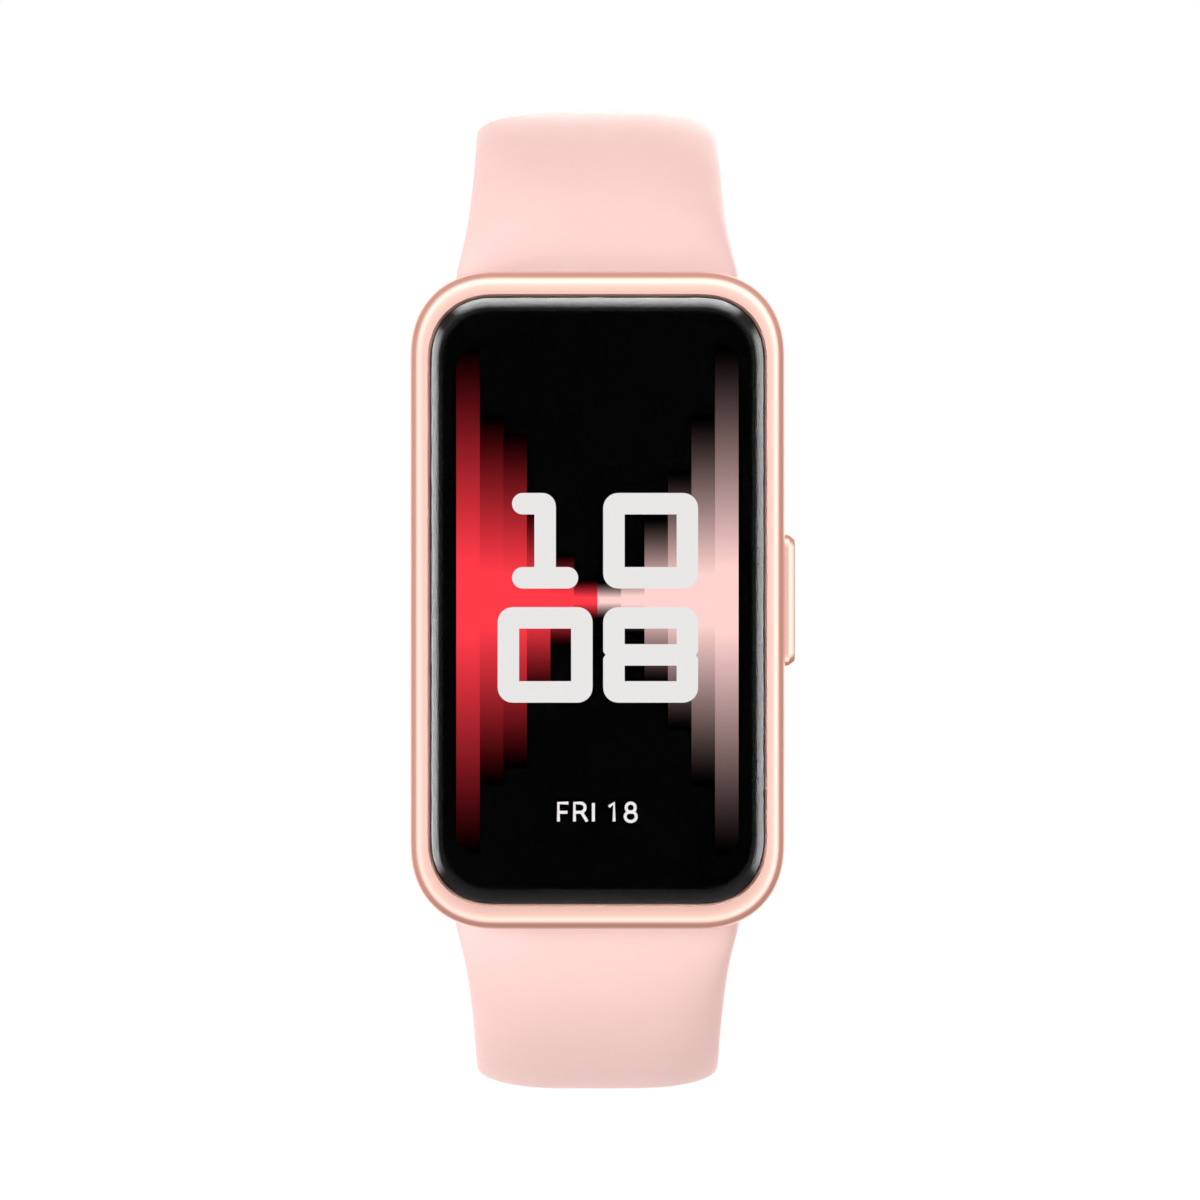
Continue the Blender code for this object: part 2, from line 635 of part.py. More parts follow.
def make_button():
    """The button's cap and stem, with the seal and the clip that ride on the stem."""
    pivot = (BUTTON_FACE_X, BUTTON_Y, 0.0)
    levels = ((0.0, BUTTON_BACK_X), (0.0, 12.8 * MM), (0.1 * MM, 12.97 * MM), (0.3 * MM, BUTTON_FACE_X))
    rings = []
    for inset, x in levels:
        half_y, half_z = BUTTON_HALF_Y - inset, BUTTON_HALF_Z - inset
        outline = rounded_outline(half_y, half_z, half_y - 0.05 * MM)
        rings.append([(x, BUTTON_Y + y, z) for y, z in outline])
    button = add_part("side_button", loft(rings), ROSE_METAL, pivot)
    stem = [
        (10.45, 0.62),
        (10.62, 0.62),
        (10.62, 0.4),
        (10.88, 0.4),
        (10.88, 0.62),
        (11.02, 0.62),
        (11.02, 0.42),
        (11.4, 0.42),
        (11.4, 0.62),
        (12.2, 0.62),
    ]
    profile = [(x * MM, radius * MM) for x, radius in stem]
    fuse(button, turned(profile, (0.0, BUTTON_Y, 0.0), (1, 0, 0), 14), "stem")
    seal = [(11.05, 0.46), (11.37, 0.46), (11.37, 0.72), (11.05, 0.72)]
    ring = turned([(x * MM, r * MM) for x, r in seal], (0.0, BUTTON_Y, 0.0), (1, 0, 0), 14, True)
    add_part("button_seal", ring, DARK_RUBBER, pivot)
    clip = [(10.65, 0.44), (10.85, 0.44), (10.85, 1.05), (10.65, 1.05)]
    ring = turned([(x * MM, r * MM) for x, r in clip], (0.0, BUTTON_Y, 0.0), (1, 0, 0), 14, True)
    add_part("button_clip", ring, STEEL, pivot)


def make_key_switch():
    """The switch that the button's stem pushes, in a bracket bent from sheet."""
    body = block((9.1 * MM, -5.15 * MM, -1.5 * MM), (9.9 * MM, -4.35 * MM, 1.5 * MM))
    switch = add_part("key_switch", body, CHIP_BLACK)
    plunger = rod((9.6 * MM, -4.8 * MM, 0.0), (10.1 * MM, -4.8 * MM, 0.0), 0.3 * MM, 10)
    fuse(switch, plunger, "plunger")
    back, front, arm_end = 8.75 * MM, 9.0 * MM, 10.3 * MM
    outer, inner = 2.4 * MM, 2.1 * MM
    outline = [(back, -outer), (arm_end, -outer), (arm_end, -inner), (front, -inner)]
    outline += [(front, inner), (arm_end, inner), (arm_end, outer), (back, outer)]
    bracket = loft([[(x, y, z) for x, z in outline] for y in (-5.1 * MM, -2.7 * MM)])
    add_part("key_bracket", bracket, STEEL)


# ---------------------------------------------------------------- straps


def loop_angle(length):
    """The direction of the outward normal at a length along the upper half of the loop."""
    if length <= 0.0:
        return LUG_ANGLE
    if length < FRONT_LENGTH:
        return LUG_ANGLE + length / FRONT_RADIUS
    if length < FRONT_LENGTH + SIDE_LENGTH:
        return (length - FRONT_LENGTH) / SIDE_RADIUS
    return BACK_ANGLE + (length - FRONT_LENGTH - SIDE_LENGTH) / BACK_RADIUS


def loop_point(length, lift=0.0):
    """(y, z) of the loop at a length from the upper pivot, moved outwards by lift."""
    if length > HALF_LOOP:
        y, z = loop_point(2.0 * HALF_LOOP - length, lift)
        return y, -z
    angle = loop_angle(length)
    if angle > BACK_ANGLE:
        centre, radius = BACK_CENTRE, BACK_RADIUS
    elif angle > 0.0:
        centre, radius = SIDE_CENTRE, SIDE_RADIUS
    else:
        centre, radius = FRONT_CENTRE, FRONT_RADIUS
    straight = min(length, 0.0)
    y = centre[0] + (radius + lift) * math.sin(angle) + straight * math.cos(angle)
    z = centre[1] + (radius + lift) * math.cos(angle) - straight * math.sin(angle)
    return y, z


def smooth_step(value, start, end):
    share = min(max((value - start) / (end - start), 0.0), 1.0)
    return share * share * (3.0 - 2.0 * share)


def half_width(length):
    flare = STRAP_FLARE * math.exp(-max(length - FLARE_START, 0.0) / FLARE_FADE)
    return STRAP_HALF_WIDTH + flare


def half_thickness(length):
    if length < 0.0:
        return math.sqrt(max(LUG_HALF_THICK**2 - length**2, (0.35 * LUG_HALF_THICK) ** 2))
    front = mixed(LUG_HALF_THICK, SIDE_HALF_THICK, smooth_step(length, 2.0 * MM, 20.0 * MM))
    share = smooth_step(length, FRONT_LENGTH, FRONT_LENGTH + SIDE_LENGTH)
    return mixed(front, BACK_HALF_THICK, share)


def section(side, length, half_x, half_n, lift=0.0):
    """A strap's section: crowned outside, flat inside. side is 1 for the upper strap."""
    crown = mixed(0.3, 0.95, smooth_step(length, 2.0 * MM, 14.0 * MM))
    outline = []
    for share in (1.0, 0.9, 0.72, 0.45, 0.0, -0.45, -0.72, -0.9, -1.0):
        outline.append((half_x * share, half_n * (1.0 - crown * share**4)))
    outline += [(-half_x, -0.4 * half_n), (-0.95 * half_x, -half_n)]
    outline += [(0.95 * half_x, -half_n), (half_x, -0.4 * half_n)]
    ring = []
    for x, n in outline:
        y, z = loop_point(length, lift + n)
        ring.append((x, y, side * z))
    return ring


def lengths_between(start, end, step):
    count = math.ceil((end - start) / step)
    return [start + (end - start) * i / count for i in range(count + 1)]


def lug_lengths():
    """Places along the rounded end that wraps the spring bar."""
    return [-LUG_HALF_THICK * share for share in (0.94, 0.8, 0.5)]


def cut_lug(strap, side):
    """The bore for the spring bar, and the pocket and slot for its thumb knob."""
    at = (PIVOT_Y, side * PIVOT_Z)
    end = STRAP_HALF_WIDTH + STRAP_FLARE + PAST
    cut(strap, rod((-end, *at), (end, *at), LUG_BORE, 14), "spring_bar_bore")
    shape = []
    for n in (-0.5 * MM, -1.5 * LUG_HALF_THICK):
        ring = []
        for x, along in ((3.9, -0.9), (7.9, -0.9), (7.9, 0.9), (3.9, 0.9)):
            y, z = lug_point(along * MM, n)
            ring.append((x * MM, y, side * z))
        shape.append(ring)
    cut(strap, loft(shape), "knob_slot")


def lug_point(along, lift):
    """(y, z) near the upper pivot, in the directions of the strap that leaves it."""
    y = PIVOT_Y + lift * math.sin(LUG_ANGLE) + along * math.cos(LUG_ANGLE)
    z = PIVOT_Z + lift * math.cos(LUG_ANGLE) - along * math.sin(LUG_ANGLE)
    return y, z


def make_spring_bar(label, side):
    """A tube with one fixed tip, and a sprung pin with a thumb knob that draws back into it."""
    at = (0.0, PIVOT_Y, side * PIVOT_Z)
    tube = [
        (-TIP_X, TIP_RADIUS),
        (-TUBE_HALF_X, TIP_RADIUS),
        (-TUBE_HALF_X, TUBE_RADIUS),
        (TUBE_HALF_X, TUBE_RADIUS),
        (TUBE_HALF_X, TUBE_BORE),
        (TUBE_BOTTOM_X, TUBE_BORE),
    ]
    bar = add_part(f"{label}_spring_bar", turned(tube, at, (1, 0, 0), 14), STEEL, at)
    slot = []
    for n in (-0.1 * MM, -1.2 * MM):
        ring = []
        for x, along in ((4.4, -0.42), (7.1, -0.42), (7.1, 0.42), (4.4, 0.42)):
            y, z = lug_point(along * MM, n)
            ring.append((x * MM, y, side * z))
        slot.append(ring)
    cut(bar, loft(slot), "knob_slot")
    pin = rod((PIN_START_X, at[1], at[2]), (TIP_X, at[1], at[2]), TIP_RADIUS, 12)
    pin = add_part(f"{label}_release_pin", pin, STEEL, at)
    inward_y, inward_z = lug_point(0.0, -1.0)
    inward = (0.0, inward_y - PIVOT_Y, side * (inward_z - PIVOT_Z))
    knob = [(0.0, 0.34), (1.05, 0.34), (1.05, 0.75), (1.62, 0.6)]
    knob = [(height * MM, radius * MM) for height, radius in knob]
    fuse(pin, turned(knob, (KNOB_X, at[1], at[2]), inward, 12), "knob")
    add_part(f"{label}_bar_spring", coil_spring(at), STEEL, at)


def coil_spring(at):
    """The wire helix between the tube's bottom and the sprung pin."""
    start, end = TUBE_BOTTOM_X + 0.1 * MM, PIN_START_X - 0.1 * MM
    coil, wire = 0.38 * MM, 0.08 * MM
    turns, per_turn, sides = 7, 10, 5
    rings = []
    for step in range(turns * per_turn + 1):
        angle = 2.0 * math.pi * step / per_turn
        share = step / (turns * per_turn)
        x = mixed(start + wire, end - wire, share)
        ring = []
        for side in range(sides):
            turn = 2.0 * math.pi * side / sides
            radius = coil + wire * math.cos(turn)
            ring.append(
                (
                    x + wire * math.sin(turn),
                    at[1] + radius * math.cos(angle),
                    at[2] + radius * math.sin(angle),
                )
            )
        rings.append(ring)
    return loft(rings)


def make_upper_strap():
    bar = HALF_LOOP - BAR_AT
    lengths = lug_lengths() + lengths_between(0.0, bar - 3.5 * MM, 2.6 * MM)
    rings = [section(1, s, half_width(s), half_thickness(s)) for s in lengths]
    for share in (-2.2, -1.0, 0.0, 0.5, 0.8, 0.94):
        past = share * KNUCKLE_HALF_THICK
        round_end = math.sqrt(KNUCKLE_HALF_THICK**2 - max(past, 0.0) ** 2)
        rings.append(section(1, bar + past, STRAP_HALF_WIDTH, round_end))
    strap = add_part("upper_strap", loft(rings), PINK_SILICONE, (0.0, PIVOT_Y, PIVOT_Z))
    cut_lug(strap, 1)
    y, z = loop_point(bar)
    end = STRAP_HALF_WIDTH + PAST
    cut(strap, rod((-end, y, z), (end, y, z), BAR_BORE, 12), "buckle_bar_bore")
    low, high = (-1.3 * MM, y - 2.5 * MM, z - 3.0 * MM), (1.3 * MM, y + 2.5 * MM, z + 2.8 * MM)
    cut(strap, block(low, high), "tongue_notch")
    make_spring_bar("upper", 1)


def lower_lift(length):
    return OVERLAP_LIFT * smooth_step(length, RAMP_START, RAMP_END)


def adjustment_hole(length):
    """A cutter with rounded ends, square to the strap."""
    place = loop_point(length, lower_lift(length))
    step = 0.5 * MM
    ahead = loop_point(length + step, lower_lift(length + step))
    forward, outward, _ = direction_to(place, ahead)
    half_x, half_long = HOLE_WIDTH / 2, HOLE_LENGTH / 2
    rings = []
    for n in (-2.0 * MM, 2.0 * MM):
        ring = []
        for x, along in rounded_outline(half_x, half_long, half_x - HOLE_SIDE):
            _, y, z = point_from(x, along, n, place, forward, outward)
            ring.append((x, y, -z))
        rings.append(ring)
    return loft(rings)


def make_lower_strap():
    tip = LOWER_LENGTH - TIP_LENGTH
    lengths = lug_lengths() + lengths_between(0.0, RAMP_START, 2.6 * MM)
    lengths += lengths_between(RAMP_START, RAMP_END, 1.2 * MM)[1:]
    lengths += lengths_between(RAMP_END, tip, 2.4 * MM)[1:]
    rings = [
        section(-1, s, half_width(s), half_thickness(min(s, HALF_LOOP)), lower_lift(s))
        for s in lengths
    ]
    for share in (0.35, 0.6, 0.8, 0.93, 0.99):
        narrow = math.sqrt(1.0 - share**2.6)
        thin = mixed(1.0, 0.72, share)
        rings.append(
            section(
                -1,
                tip + share * TIP_LENGTH,
                STRAP_HALF_WIDTH * narrow,
                BACK_HALF_THICK * thin,
                OVERLAP_LIFT,
            )
        )
    strap = add_part("lower_strap", loft(rings), PINK_SILICONE, (0.0, PIVOT_Y, -PIVOT_Z))
    cut_lug(strap, -1)
    holes = [
        adjustment_hole(HOLE_AT + number * HOLE_PITCH)
        for number in range(-HOLES_BEFORE, HOLES_AFTER + 1)
    ]
    cut(strap, merged(holes), "adjustment_holes")
    make_spring_bar("lower", -1)


# ---------------------------------------------------------------- buckle


def make_buckle():
    bar = loop_point(HALF_LOOP - BAR_AT)
    cross = loop_point(HALF_LOOP + CROSSBAR_AT, CROSSBAR_LIFT)
    forward, outward, reach = direction_to(bar, cross)
    pivot = (0.0, *bar)
    outer, inner = FRAME_HALF_X, FRAME_WINDOW_HALF_X
    end, window_end = reach + CROSSBAR_RADIUS, reach - CROSSBAR_RADIUS
    curve, window_curve = 2.4 * MM, 1.0 * MM
    back = -1.3 * MM
    outline = [(outer, back)]
    outline += arc_points(outer - curve, end - curve, curve, 0.0, 90.0, 5)
    outline += arc_points(-outer + curve, end - curve, curve, 90.0, 180.0, 5)
    outline += [(-outer, back), (-inner, back)]
    corner = window_end - window_curve
    outline += arc_points(-inner + window_curve, corner, window_curve, 180.0, 90.0, 3)
    outline += arc_points(inner - window_curve, corner, window_curve, 90.0, 0.0, 3)
    outline += [(inner, back)]
    rings = []
    for lift in (-FRAME_HALF_THICK, FRAME_HALF_THICK):
        rings.append([point_from(x, t, lift, bar, forward, outward) for x, t in outline])
    frame = add_part("buckle_frame", loft(rings), ROSE_METAL, pivot)
    bevel = frame.modifiers.new("soft_edges", "BEVEL")
    bevel.width = 0.3 * MM
    bevel.segments = 2
    bevel.angle_limit = math.radians(50.0)
    half = BAR_HALF_X + 0.1 * MM
    cut(frame, rod((-half, *bar), (half, *bar), BAR_BORE, 12), "bar_holes")
    low, high, half = window_end - MM, end + MM, NOTCH_HALF_X
    corners = ((-half, low), (half, low), (half, high), (-half, high))
    rings = []
    for lift in (FRAME_HALF_THICK - CROSSBAR_NOTCH, 2.0 * FRAME_HALF_THICK):
        rings.append([point_from(x, t, lift, bar, forward, outward) for x, t in corners])
    cut(frame, loft(rings), "tongue_rest")
    buckle_bar = rod((-BAR_HALF_X, *bar), (BAR_HALF_X, *bar), BAR_RADIUS, 12)
    add_part("buckle_bar", buckle_bar, STEEL, pivot)
    make_tongue(bar, cross, outward)


def make_tongue(bar, cross, outward):
    """A flat blade with an eye round the bar. It lies in the notch of the crossbar."""
    rest = FRAME_HALF_THICK - CROSSBAR_NOTCH + TONGUE_HALF_THICK + TONGUE_REST_GAP
    target = (cross[0] + rest * outward[0], cross[1] + rest * outward[1])
    forward, up, reach = direction_to(bar, target)
    half = TONGUE_HALF_THICK
    leave = math.degrees(math.asin(half / TONGUE_EYE))
    outline = arc_points(0.0, 0.0, TONGUE_EYE, leave, 360.0 - leave, 12)
    tip = reach + 1.1 * MM
    outline += [(tip - 0.6 * MM, -half), (tip, -0.3 * half), (tip, 0.4 * half), (tip - 0.5 * MM, half)]
    rings = []
    for x in (-TONGUE_HALF_X, TONGUE_HALF_X):
        rings.append([point_from(x, along, lift, bar, forward, up) for along, lift in outline])
    tongue = add_part("buckle_tongue", loft(rings), ROSE_METAL, (0.0, *bar))
    cut(tongue, rod((-2.0 * MM, *bar), (2.0 * MM, *bar), BAR_BORE, 12), "bar_eye")


def make_keeper():
    """A band of silicone round both straps, bent to the arc that it slides along."""
    inner_low = -BACK_HALF_THICK - KEEPER_GAP
    inner_high = OVERLAP_LIFT + BACK_HALF_THICK + KEEPER_GAP
    inner_x = STRAP_HALF_WIDTH + KEEPER_GAP
    middle = (inner_low + inner_high) / 2
    half_n = (inner_high - inner_low) / 2
    start = HALF_LOOP - KEEPER_AT - KEEPER_LENGTH / 2
    lengths = lengths_between(start, start + KEEPER_LENGTH, KEEPER_LENGTH / 3)

    def ring(length, grow, radius):
        points = []
        for x, n in rounded_outline(inner_x + grow, half_n + grow, radius):
            y, z = loop_point(length, middle + n)
            points.append((x, y, z))
        return points

    outside = [ring(s, KEEPER_WALL, 1.1 * MM) for s in lengths]
    inside = [ring(s, 0.0, 0.3 * MM) for s in reversed(lengths)]
    add_part("strap_keeper", loft(outside + inside, joined=True), PINK_SILICONE)


def main():
    for obj in list(bpy.data.objects):
        bpy.data.objects.remove(obj, do_unlink=True)
    make_case()
    make_glass()
    make_display()
    make_chassis()
    make_rear_cover()
    make_sensor()
    make_board()
    make_motor()
    make_button()
    make_key_switch()
    make_upper_strap()
    make_lower_strap()
    make_buckle()
    make_keeper()


main()
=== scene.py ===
"""Looks of the slim fitness tracker band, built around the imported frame.

+X points to the side button, +Z to twelve o'clock, and the display faces -Y. Lengths are in metres.
"""

from math import asin, cos, degrees, exp, pi, radians, sin, sqrt, tan

import bmesh
import bpy
from mathutils import Matrix, Vector


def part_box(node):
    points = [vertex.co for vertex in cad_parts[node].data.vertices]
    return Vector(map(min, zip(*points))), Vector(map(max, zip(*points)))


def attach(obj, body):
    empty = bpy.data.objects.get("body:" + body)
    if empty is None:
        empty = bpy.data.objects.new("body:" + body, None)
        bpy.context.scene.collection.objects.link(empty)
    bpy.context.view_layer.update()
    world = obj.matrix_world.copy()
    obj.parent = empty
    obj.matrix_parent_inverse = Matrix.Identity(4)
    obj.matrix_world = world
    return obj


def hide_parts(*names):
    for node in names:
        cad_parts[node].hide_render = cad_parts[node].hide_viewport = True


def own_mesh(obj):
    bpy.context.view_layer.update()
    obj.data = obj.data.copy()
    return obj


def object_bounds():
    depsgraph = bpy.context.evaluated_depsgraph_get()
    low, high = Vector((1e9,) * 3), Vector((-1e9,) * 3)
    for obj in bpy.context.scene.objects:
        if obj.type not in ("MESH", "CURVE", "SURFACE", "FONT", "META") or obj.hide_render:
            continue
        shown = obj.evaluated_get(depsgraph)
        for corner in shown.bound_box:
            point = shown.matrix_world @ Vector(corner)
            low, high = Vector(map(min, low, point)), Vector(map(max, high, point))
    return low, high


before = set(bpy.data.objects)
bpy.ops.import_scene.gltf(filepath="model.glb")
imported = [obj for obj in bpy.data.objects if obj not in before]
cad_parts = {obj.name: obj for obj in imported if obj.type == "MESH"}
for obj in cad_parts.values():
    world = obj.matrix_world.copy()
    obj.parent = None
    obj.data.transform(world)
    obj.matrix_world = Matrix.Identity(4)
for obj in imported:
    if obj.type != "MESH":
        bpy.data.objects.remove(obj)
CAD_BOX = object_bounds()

MM = 0.001


def mm(*values):
    return tuple(value * MM for value in values)


def middle(node):
    """The centre of a CAD node's box."""
    low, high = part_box(node)
    return (low + high) / 2


# Sizes read from the frame.
CASE_LOW, CASE_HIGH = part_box("case_frame")
GLASS_LOW, GLASS_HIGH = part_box("cover_glass")
PANEL_LOW, PANEL_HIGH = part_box("display_panel")
WINDOW_LOW, WINDOW_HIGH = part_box("sensor_window")
BUTTON_LOW, BUTTON_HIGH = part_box("side_button")
BUTTON_Y = middle("side_button").y
CONTACT = middle("charge_contact_right")
PIVOT = middle("upper_spring_bar")

# The case and the glass share a corner shape: CORNER_POWER of 2 would be an arc. Slopes are in
# degrees, across the edge of the glass and across the rim, with the power of the change.
CORNER_POWER = 2.25
CORNER_STEPS = 20
CASE_CORNER = 5.7 * MM
GLASS_CORNER = 4.45 * MM
GLASS_GAP = 0.05 * MM
GLASS_INSET = 0.08 * MM
GLASS_EDGE_X, GLASS_EDGE_Z = mm(0.90, 1.06)
GLASS_SLOPES = (54.0, 3.0, 1.9)
RIM_WIDTH = 1.26 * MM
RIM_LIP = GLASS_GAP + 0.03 * MM
RIM_SLOPES = (13.0, 71.0, 2.0)
RIM_STEPS = 26
LIP_DEPTH = 0.05 * MM
REAR_EDGE_WIDTH, REAR_EDGE_DEPTH = mm(0.80, 1.65)
LEDGE_Y = -7.45 * MM

# The pockets in the case, from the rear: half width, half height and corner, and their depths.
CASE_POCKETS = (
    (mm(11.3, 16.4, 3.2), CASE_HIGH.y, -2.35 * MM),
    (mm(10.4, 15.4, 2.0), -2.35 * MM, -5.25 * MM),
    (mm(9.2, 15.2, 1.5), -5.25 * MM, -6.10 * MM),
    (mm(10.0, 18.6, 3.0), -6.10 * MM, LEDGE_Y),
)

# The strap channels, and the holes for the spring bars' tips. A hole's size is its radius.
CHANNEL_HALF_X, CHANNEL_HALF_Y, CHANNEL_CORNER = mm(9.65, 2.0, 0.4)
CHANNEL_ROOF_Y = -5.3 * MM
CHANNEL_INNER_Z = 17.0 * MM
TIP_HOLE = 0.5 * MM
TIP_HOLE_X = mm(9.0, 10.75)

# The button: its profile as insets and depths in millimetres, its stem, and the room for both.
BUTTON_HALF_Y = 1.0 * MM
BUTTON_GAP = 0.12 * MM
BUTTON_ROOM = 1.57 * MM
BUTTON_PROFILE = (
    (0.0, 1.22),
    (0.112, 0.42),
    (0.117, 0.40),
    (0.155, 0.34),
    (0.38, 0.06),
    (0.42, 0.02),
    (0.47, 0.0),
)
STEM_RADIUS = 0.42 * MM
STEM_END = 0.9 * MM
STEM_HOLE = 0.75 * MM
STEM_HOLE_X = mm(10.0, 12.0)

# The ink border behind the glass.
INK_OVERLAP = 0.3 * MM
INK_CORNER = 2.6 * MM
INK_DEPTHS = mm(0.005, 0.015)

# The rear cover's section in millimetres, as half width, half height, corner and depth: down the
# outside to the window, and back up inside.
REAR_SECTION = (
    (11.2, 16.3, 3.1, -2.0),
    (11.2, 16.3, 3.1, -1.50),
    (11.14, 16.24, 3.1, -1.38),
    (10.9, 16.0, 3.2, -1.24),
    (10.3, 14.6, 3.7, -1.15),
    (9.7, 13.1, 4.3, -1.08),
    (9.3, 12.3, 4.6, -0.98),
    (8.9, 11.6, 4.7, -0.84),
    (8.4, 10.9, 4.6, -0.66),
    (7.9, 10.2, 4.3, -0.47),
    (7.5, 9.6, 4.0, -0.34),
    (7.2, 9.25, 3.8, -0.30),
    (6.5, 8.5, 3.3, -0.30),
    (6.5, 8.5, 3.3, -0.80),
    (5.8, 7.8, 2.8, -0.80),
    (5.8, 7.8, 2.8, -1.45),
    (8.2, 10.4, 3.0, -1.45),
    (8.2, 10.4, 3.0, -2.0),
)
CONTACT_HOLE = 0.86 * MM
CONTACT_HOLE_Y = mm(-2.5, -0.5)
WINDOW_CORNER = 3.2 * MM
WINDOW_EDGE_WIDTH, WINDOW_EDGE_DEPTH = mm(0.22, 0.16)

# The loop of the straps: three arcs on each side, by the direction of their outward normals.
LUG_ANGLE = radians(-52.0)
BACK_ANGLE = radians(55.0)
SIDE_HALF_THICK = 1.1 * MM
SIDE_RADIUS = 16.8 * MM
LOOP_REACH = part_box("upper_strap")[1].z - SIDE_HALF_THICK
FRONT_RADIUS = (LOOP_REACH - PIVOT.z) / (1.0 - cos(LUG_ANGLE))
FRONT_CENTRE = (PIVOT.y - FRONT_RADIUS * sin(LUG_ANGLE), LOOP_REACH - FRONT_RADIUS)
SIDE_CENTRE = (FRONT_CENTRE[0], LOOP_REACH - SIDE_RADIUS)
BACK_RADIUS = SIDE_RADIUS + SIDE_CENTRE[1] / cos(BACK_ANGLE)
BACK_CENTRE = (SIDE_CENTRE[0] - (BACK_RADIUS - SIDE_RADIUS) * sin(BACK_ANGLE), 0.0)
FRONT_LENGTH = -FRONT_RADIUS * LUG_ANGLE
SIDE_LENGTH = SIDE_RADIUS * BACK_ANGLE
HALF_LOOP = FRONT_LENGTH + SIDE_LENGTH + BACK_RADIUS * (pi / 2 - BACK_ANGLE)

# The straps' section, and what is along them.
STRAP_HALF_WIDTH = 8.0 * MM
STRAP_FLARE = 1.4 * MM
FLARE_START = 3.6 * MM
FLARE_FADE = 6.9 * MM
LUG_HALF_THICK = 1.7 * MM
LUG_BORE, LUG_BORE_X = mm(0.86, 11.0)
KNOB_SLOT = mm(2.0, 0.9, 0.5)
KNOB_SLOT_X = 5.9 * MM
KNOB_SLOT_FLOOR = -0.5 * MM
BACK_HALF_THICK = 0.95 * MM
EDGE_POWER = 28.0
EDGE_MIDDLE = -0.35
EDGE_STEPS = 15
BAR_AT = 3.0 * MM
KNUCKLE_HALF_THICK = 1.1 * MM
BAR_BORE = 0.56 * MM
TONGUE_NOTCH = (mm(-1.3, -2.5, -3.0), mm(1.3, 2.5, 2.8))
RAMP_START = HALF_LOOP - 9.0 * MM
RAMP_END = HALF_LOOP + 1.5 * MM
OVERLAP_LIFT = 2.2 * MM
LOWER_LENGTH = HALF_LOOP + 31.5 * MM
TIP_LENGTH = 6.0 * MM
HOLE_AT = HALF_LOOP - 1.06 * MM
HOLE_LENGTH, HOLE_WIDTH = mm(4.6, 2.1)
HOLE_PITCH = 7.0 * MM
HOLE_CHAMFER = 0.12 * MM
HOLES_BEFORE, HOLES_AFTER = 5, 3

# The springs in the spring bars.
SPRING_TURNS = 12
SPRING_STEPS = 20
WIRE_RADIUS = 0.08 * MM

# The buckle and the keeper, with lengths along the loop from its rearmost point.
CROSSBAR_AT = 5.6 * MM
CROSSBAR_RADIUS = 0.75 * MM
CROSSBAR_LIFT = 2.95 * MM
CROSSBAR_NOTCH = 0.4 * MM
NOTCH_HALF_X = 1.05 * MM
FRAME_HALF_X, FRAME_CORNER = mm(10.0, 2.4)
FRAME_WINDOW_HALF_X, FRAME_WINDOW_CORNER = mm(8.4, 1.0)
FRAME_HALF_THICK = 0.8 * MM
FRAME_BACK = -1.3 * MM
TONGUE_HALF_X = 0.8 * MM
TONGUE_HALF_THICK = 0.45 * MM
TONGUE_EYE = 1.05 * MM
TONGUE_PAST = 1.1 * MM
TONGUE_REST_GAP = 0.16 * MM
KEEPER_AT = 14.0 * MM
KEEPER_LENGTH = 5.5 * MM
KEEPER_WALL = 0.9 * MM
KEEPER_GAP = 0.22 * MM
KEEPER_SOFT = 0.35 * MM
KEEPER_CORNER = 0.3 * MM

# The picture on the display. Its parts lie at two heights over the panel.
PICTURE_HALF_THICK = 0.004 * MM
BARS_LIFT, DIGITS_LIFT = mm(0.012, 0.030)
LINE_PRESSED = 0.05
DIGIT_HALF_WIDTH, DIGIT_HALF_HEIGHT = mm(3.14, 3.16)
DIGIT_STROKE = 1.42 * MM
DIGIT_CORNER = 1.0 * MM
DIGIT_COLUMNS = mm(-3.46, 3.52)
DIGIT_ROWS = mm(3.94, -3.61)
WAIST_DEPTH, WAIST_HALF_HEIGHT, WAIST_CORNER = mm(0.16, 0.22, 0.2)
DATE_Z = -14.02 * MM
DATE_HALF_HEIGHT = 0.61 * MM
DATE_STROKE = 0.20 * MM
DATE_COLUMNS = mm(-2.58, -1.92, -1.98, -1.52, -1.12, -1.06, -0.68, -0.27, 1.10, 0.76, 2.20)
BAR_WIDTH = 1.556 * MM
BAR_CORNER = 1.5 * MM
LEFT_REACHES = mm(16.8, 12.2, 11.1, 6.3, 3.0, 1.3)
RIGHT_REACHES = mm(17.0, 12.3, 8.6, 5.5, 2.2, 1.2)

# Colours, as linear values, with the height of a row of pixels in millimetres.
ROSE = (0.94, 0.60, 0.52)
SILICONE = (0.75, 0.52, 0.498)
REAR_PINK = (0.90, 0.62, 0.56)
PANEL_BLACK = (0.0004, 0.0004, 0.0005)
FACE_RED = (1.0, 0.045, 0.065)
FACE_PINK = (1.0, 0.65, 0.625)
FACE_WHITE = (0.86, 0.84, 0.835)
GLOW_GAIN = 1.35
PIXEL = 0.13

# The camera and the studio.
CAMERA_DISTANCE = 2.4
FRAME_WIDTH = 79.47 * MM
CAMERA_OFFSET = mm(0.17, 0.02)
FLOOR_DROP = 28.0 * MM
FLOOR_SIZE = 4.0
CARD_AWAY = 0.4
CARD_Y = -0.25
CARD_SIZE = (0.8, 1.2)


# ---------------------------------------------------------------- shapes


def mixed(start, end, share):
    return start + (end - start) * share


def smooth_step(value, start, end):
    share = min(max((value - start) / (end - start), 0.0), 1.0)
    return share * share * (3.0 - 2.0 * share)


def spread(start, end, count):
    return [mixed(start, end, i / count) for i in range(count + 1)]


def sweep(start, end, count):
    """Angles between two that are given in degrees."""
    return spread(radians(start), radians(end), count)


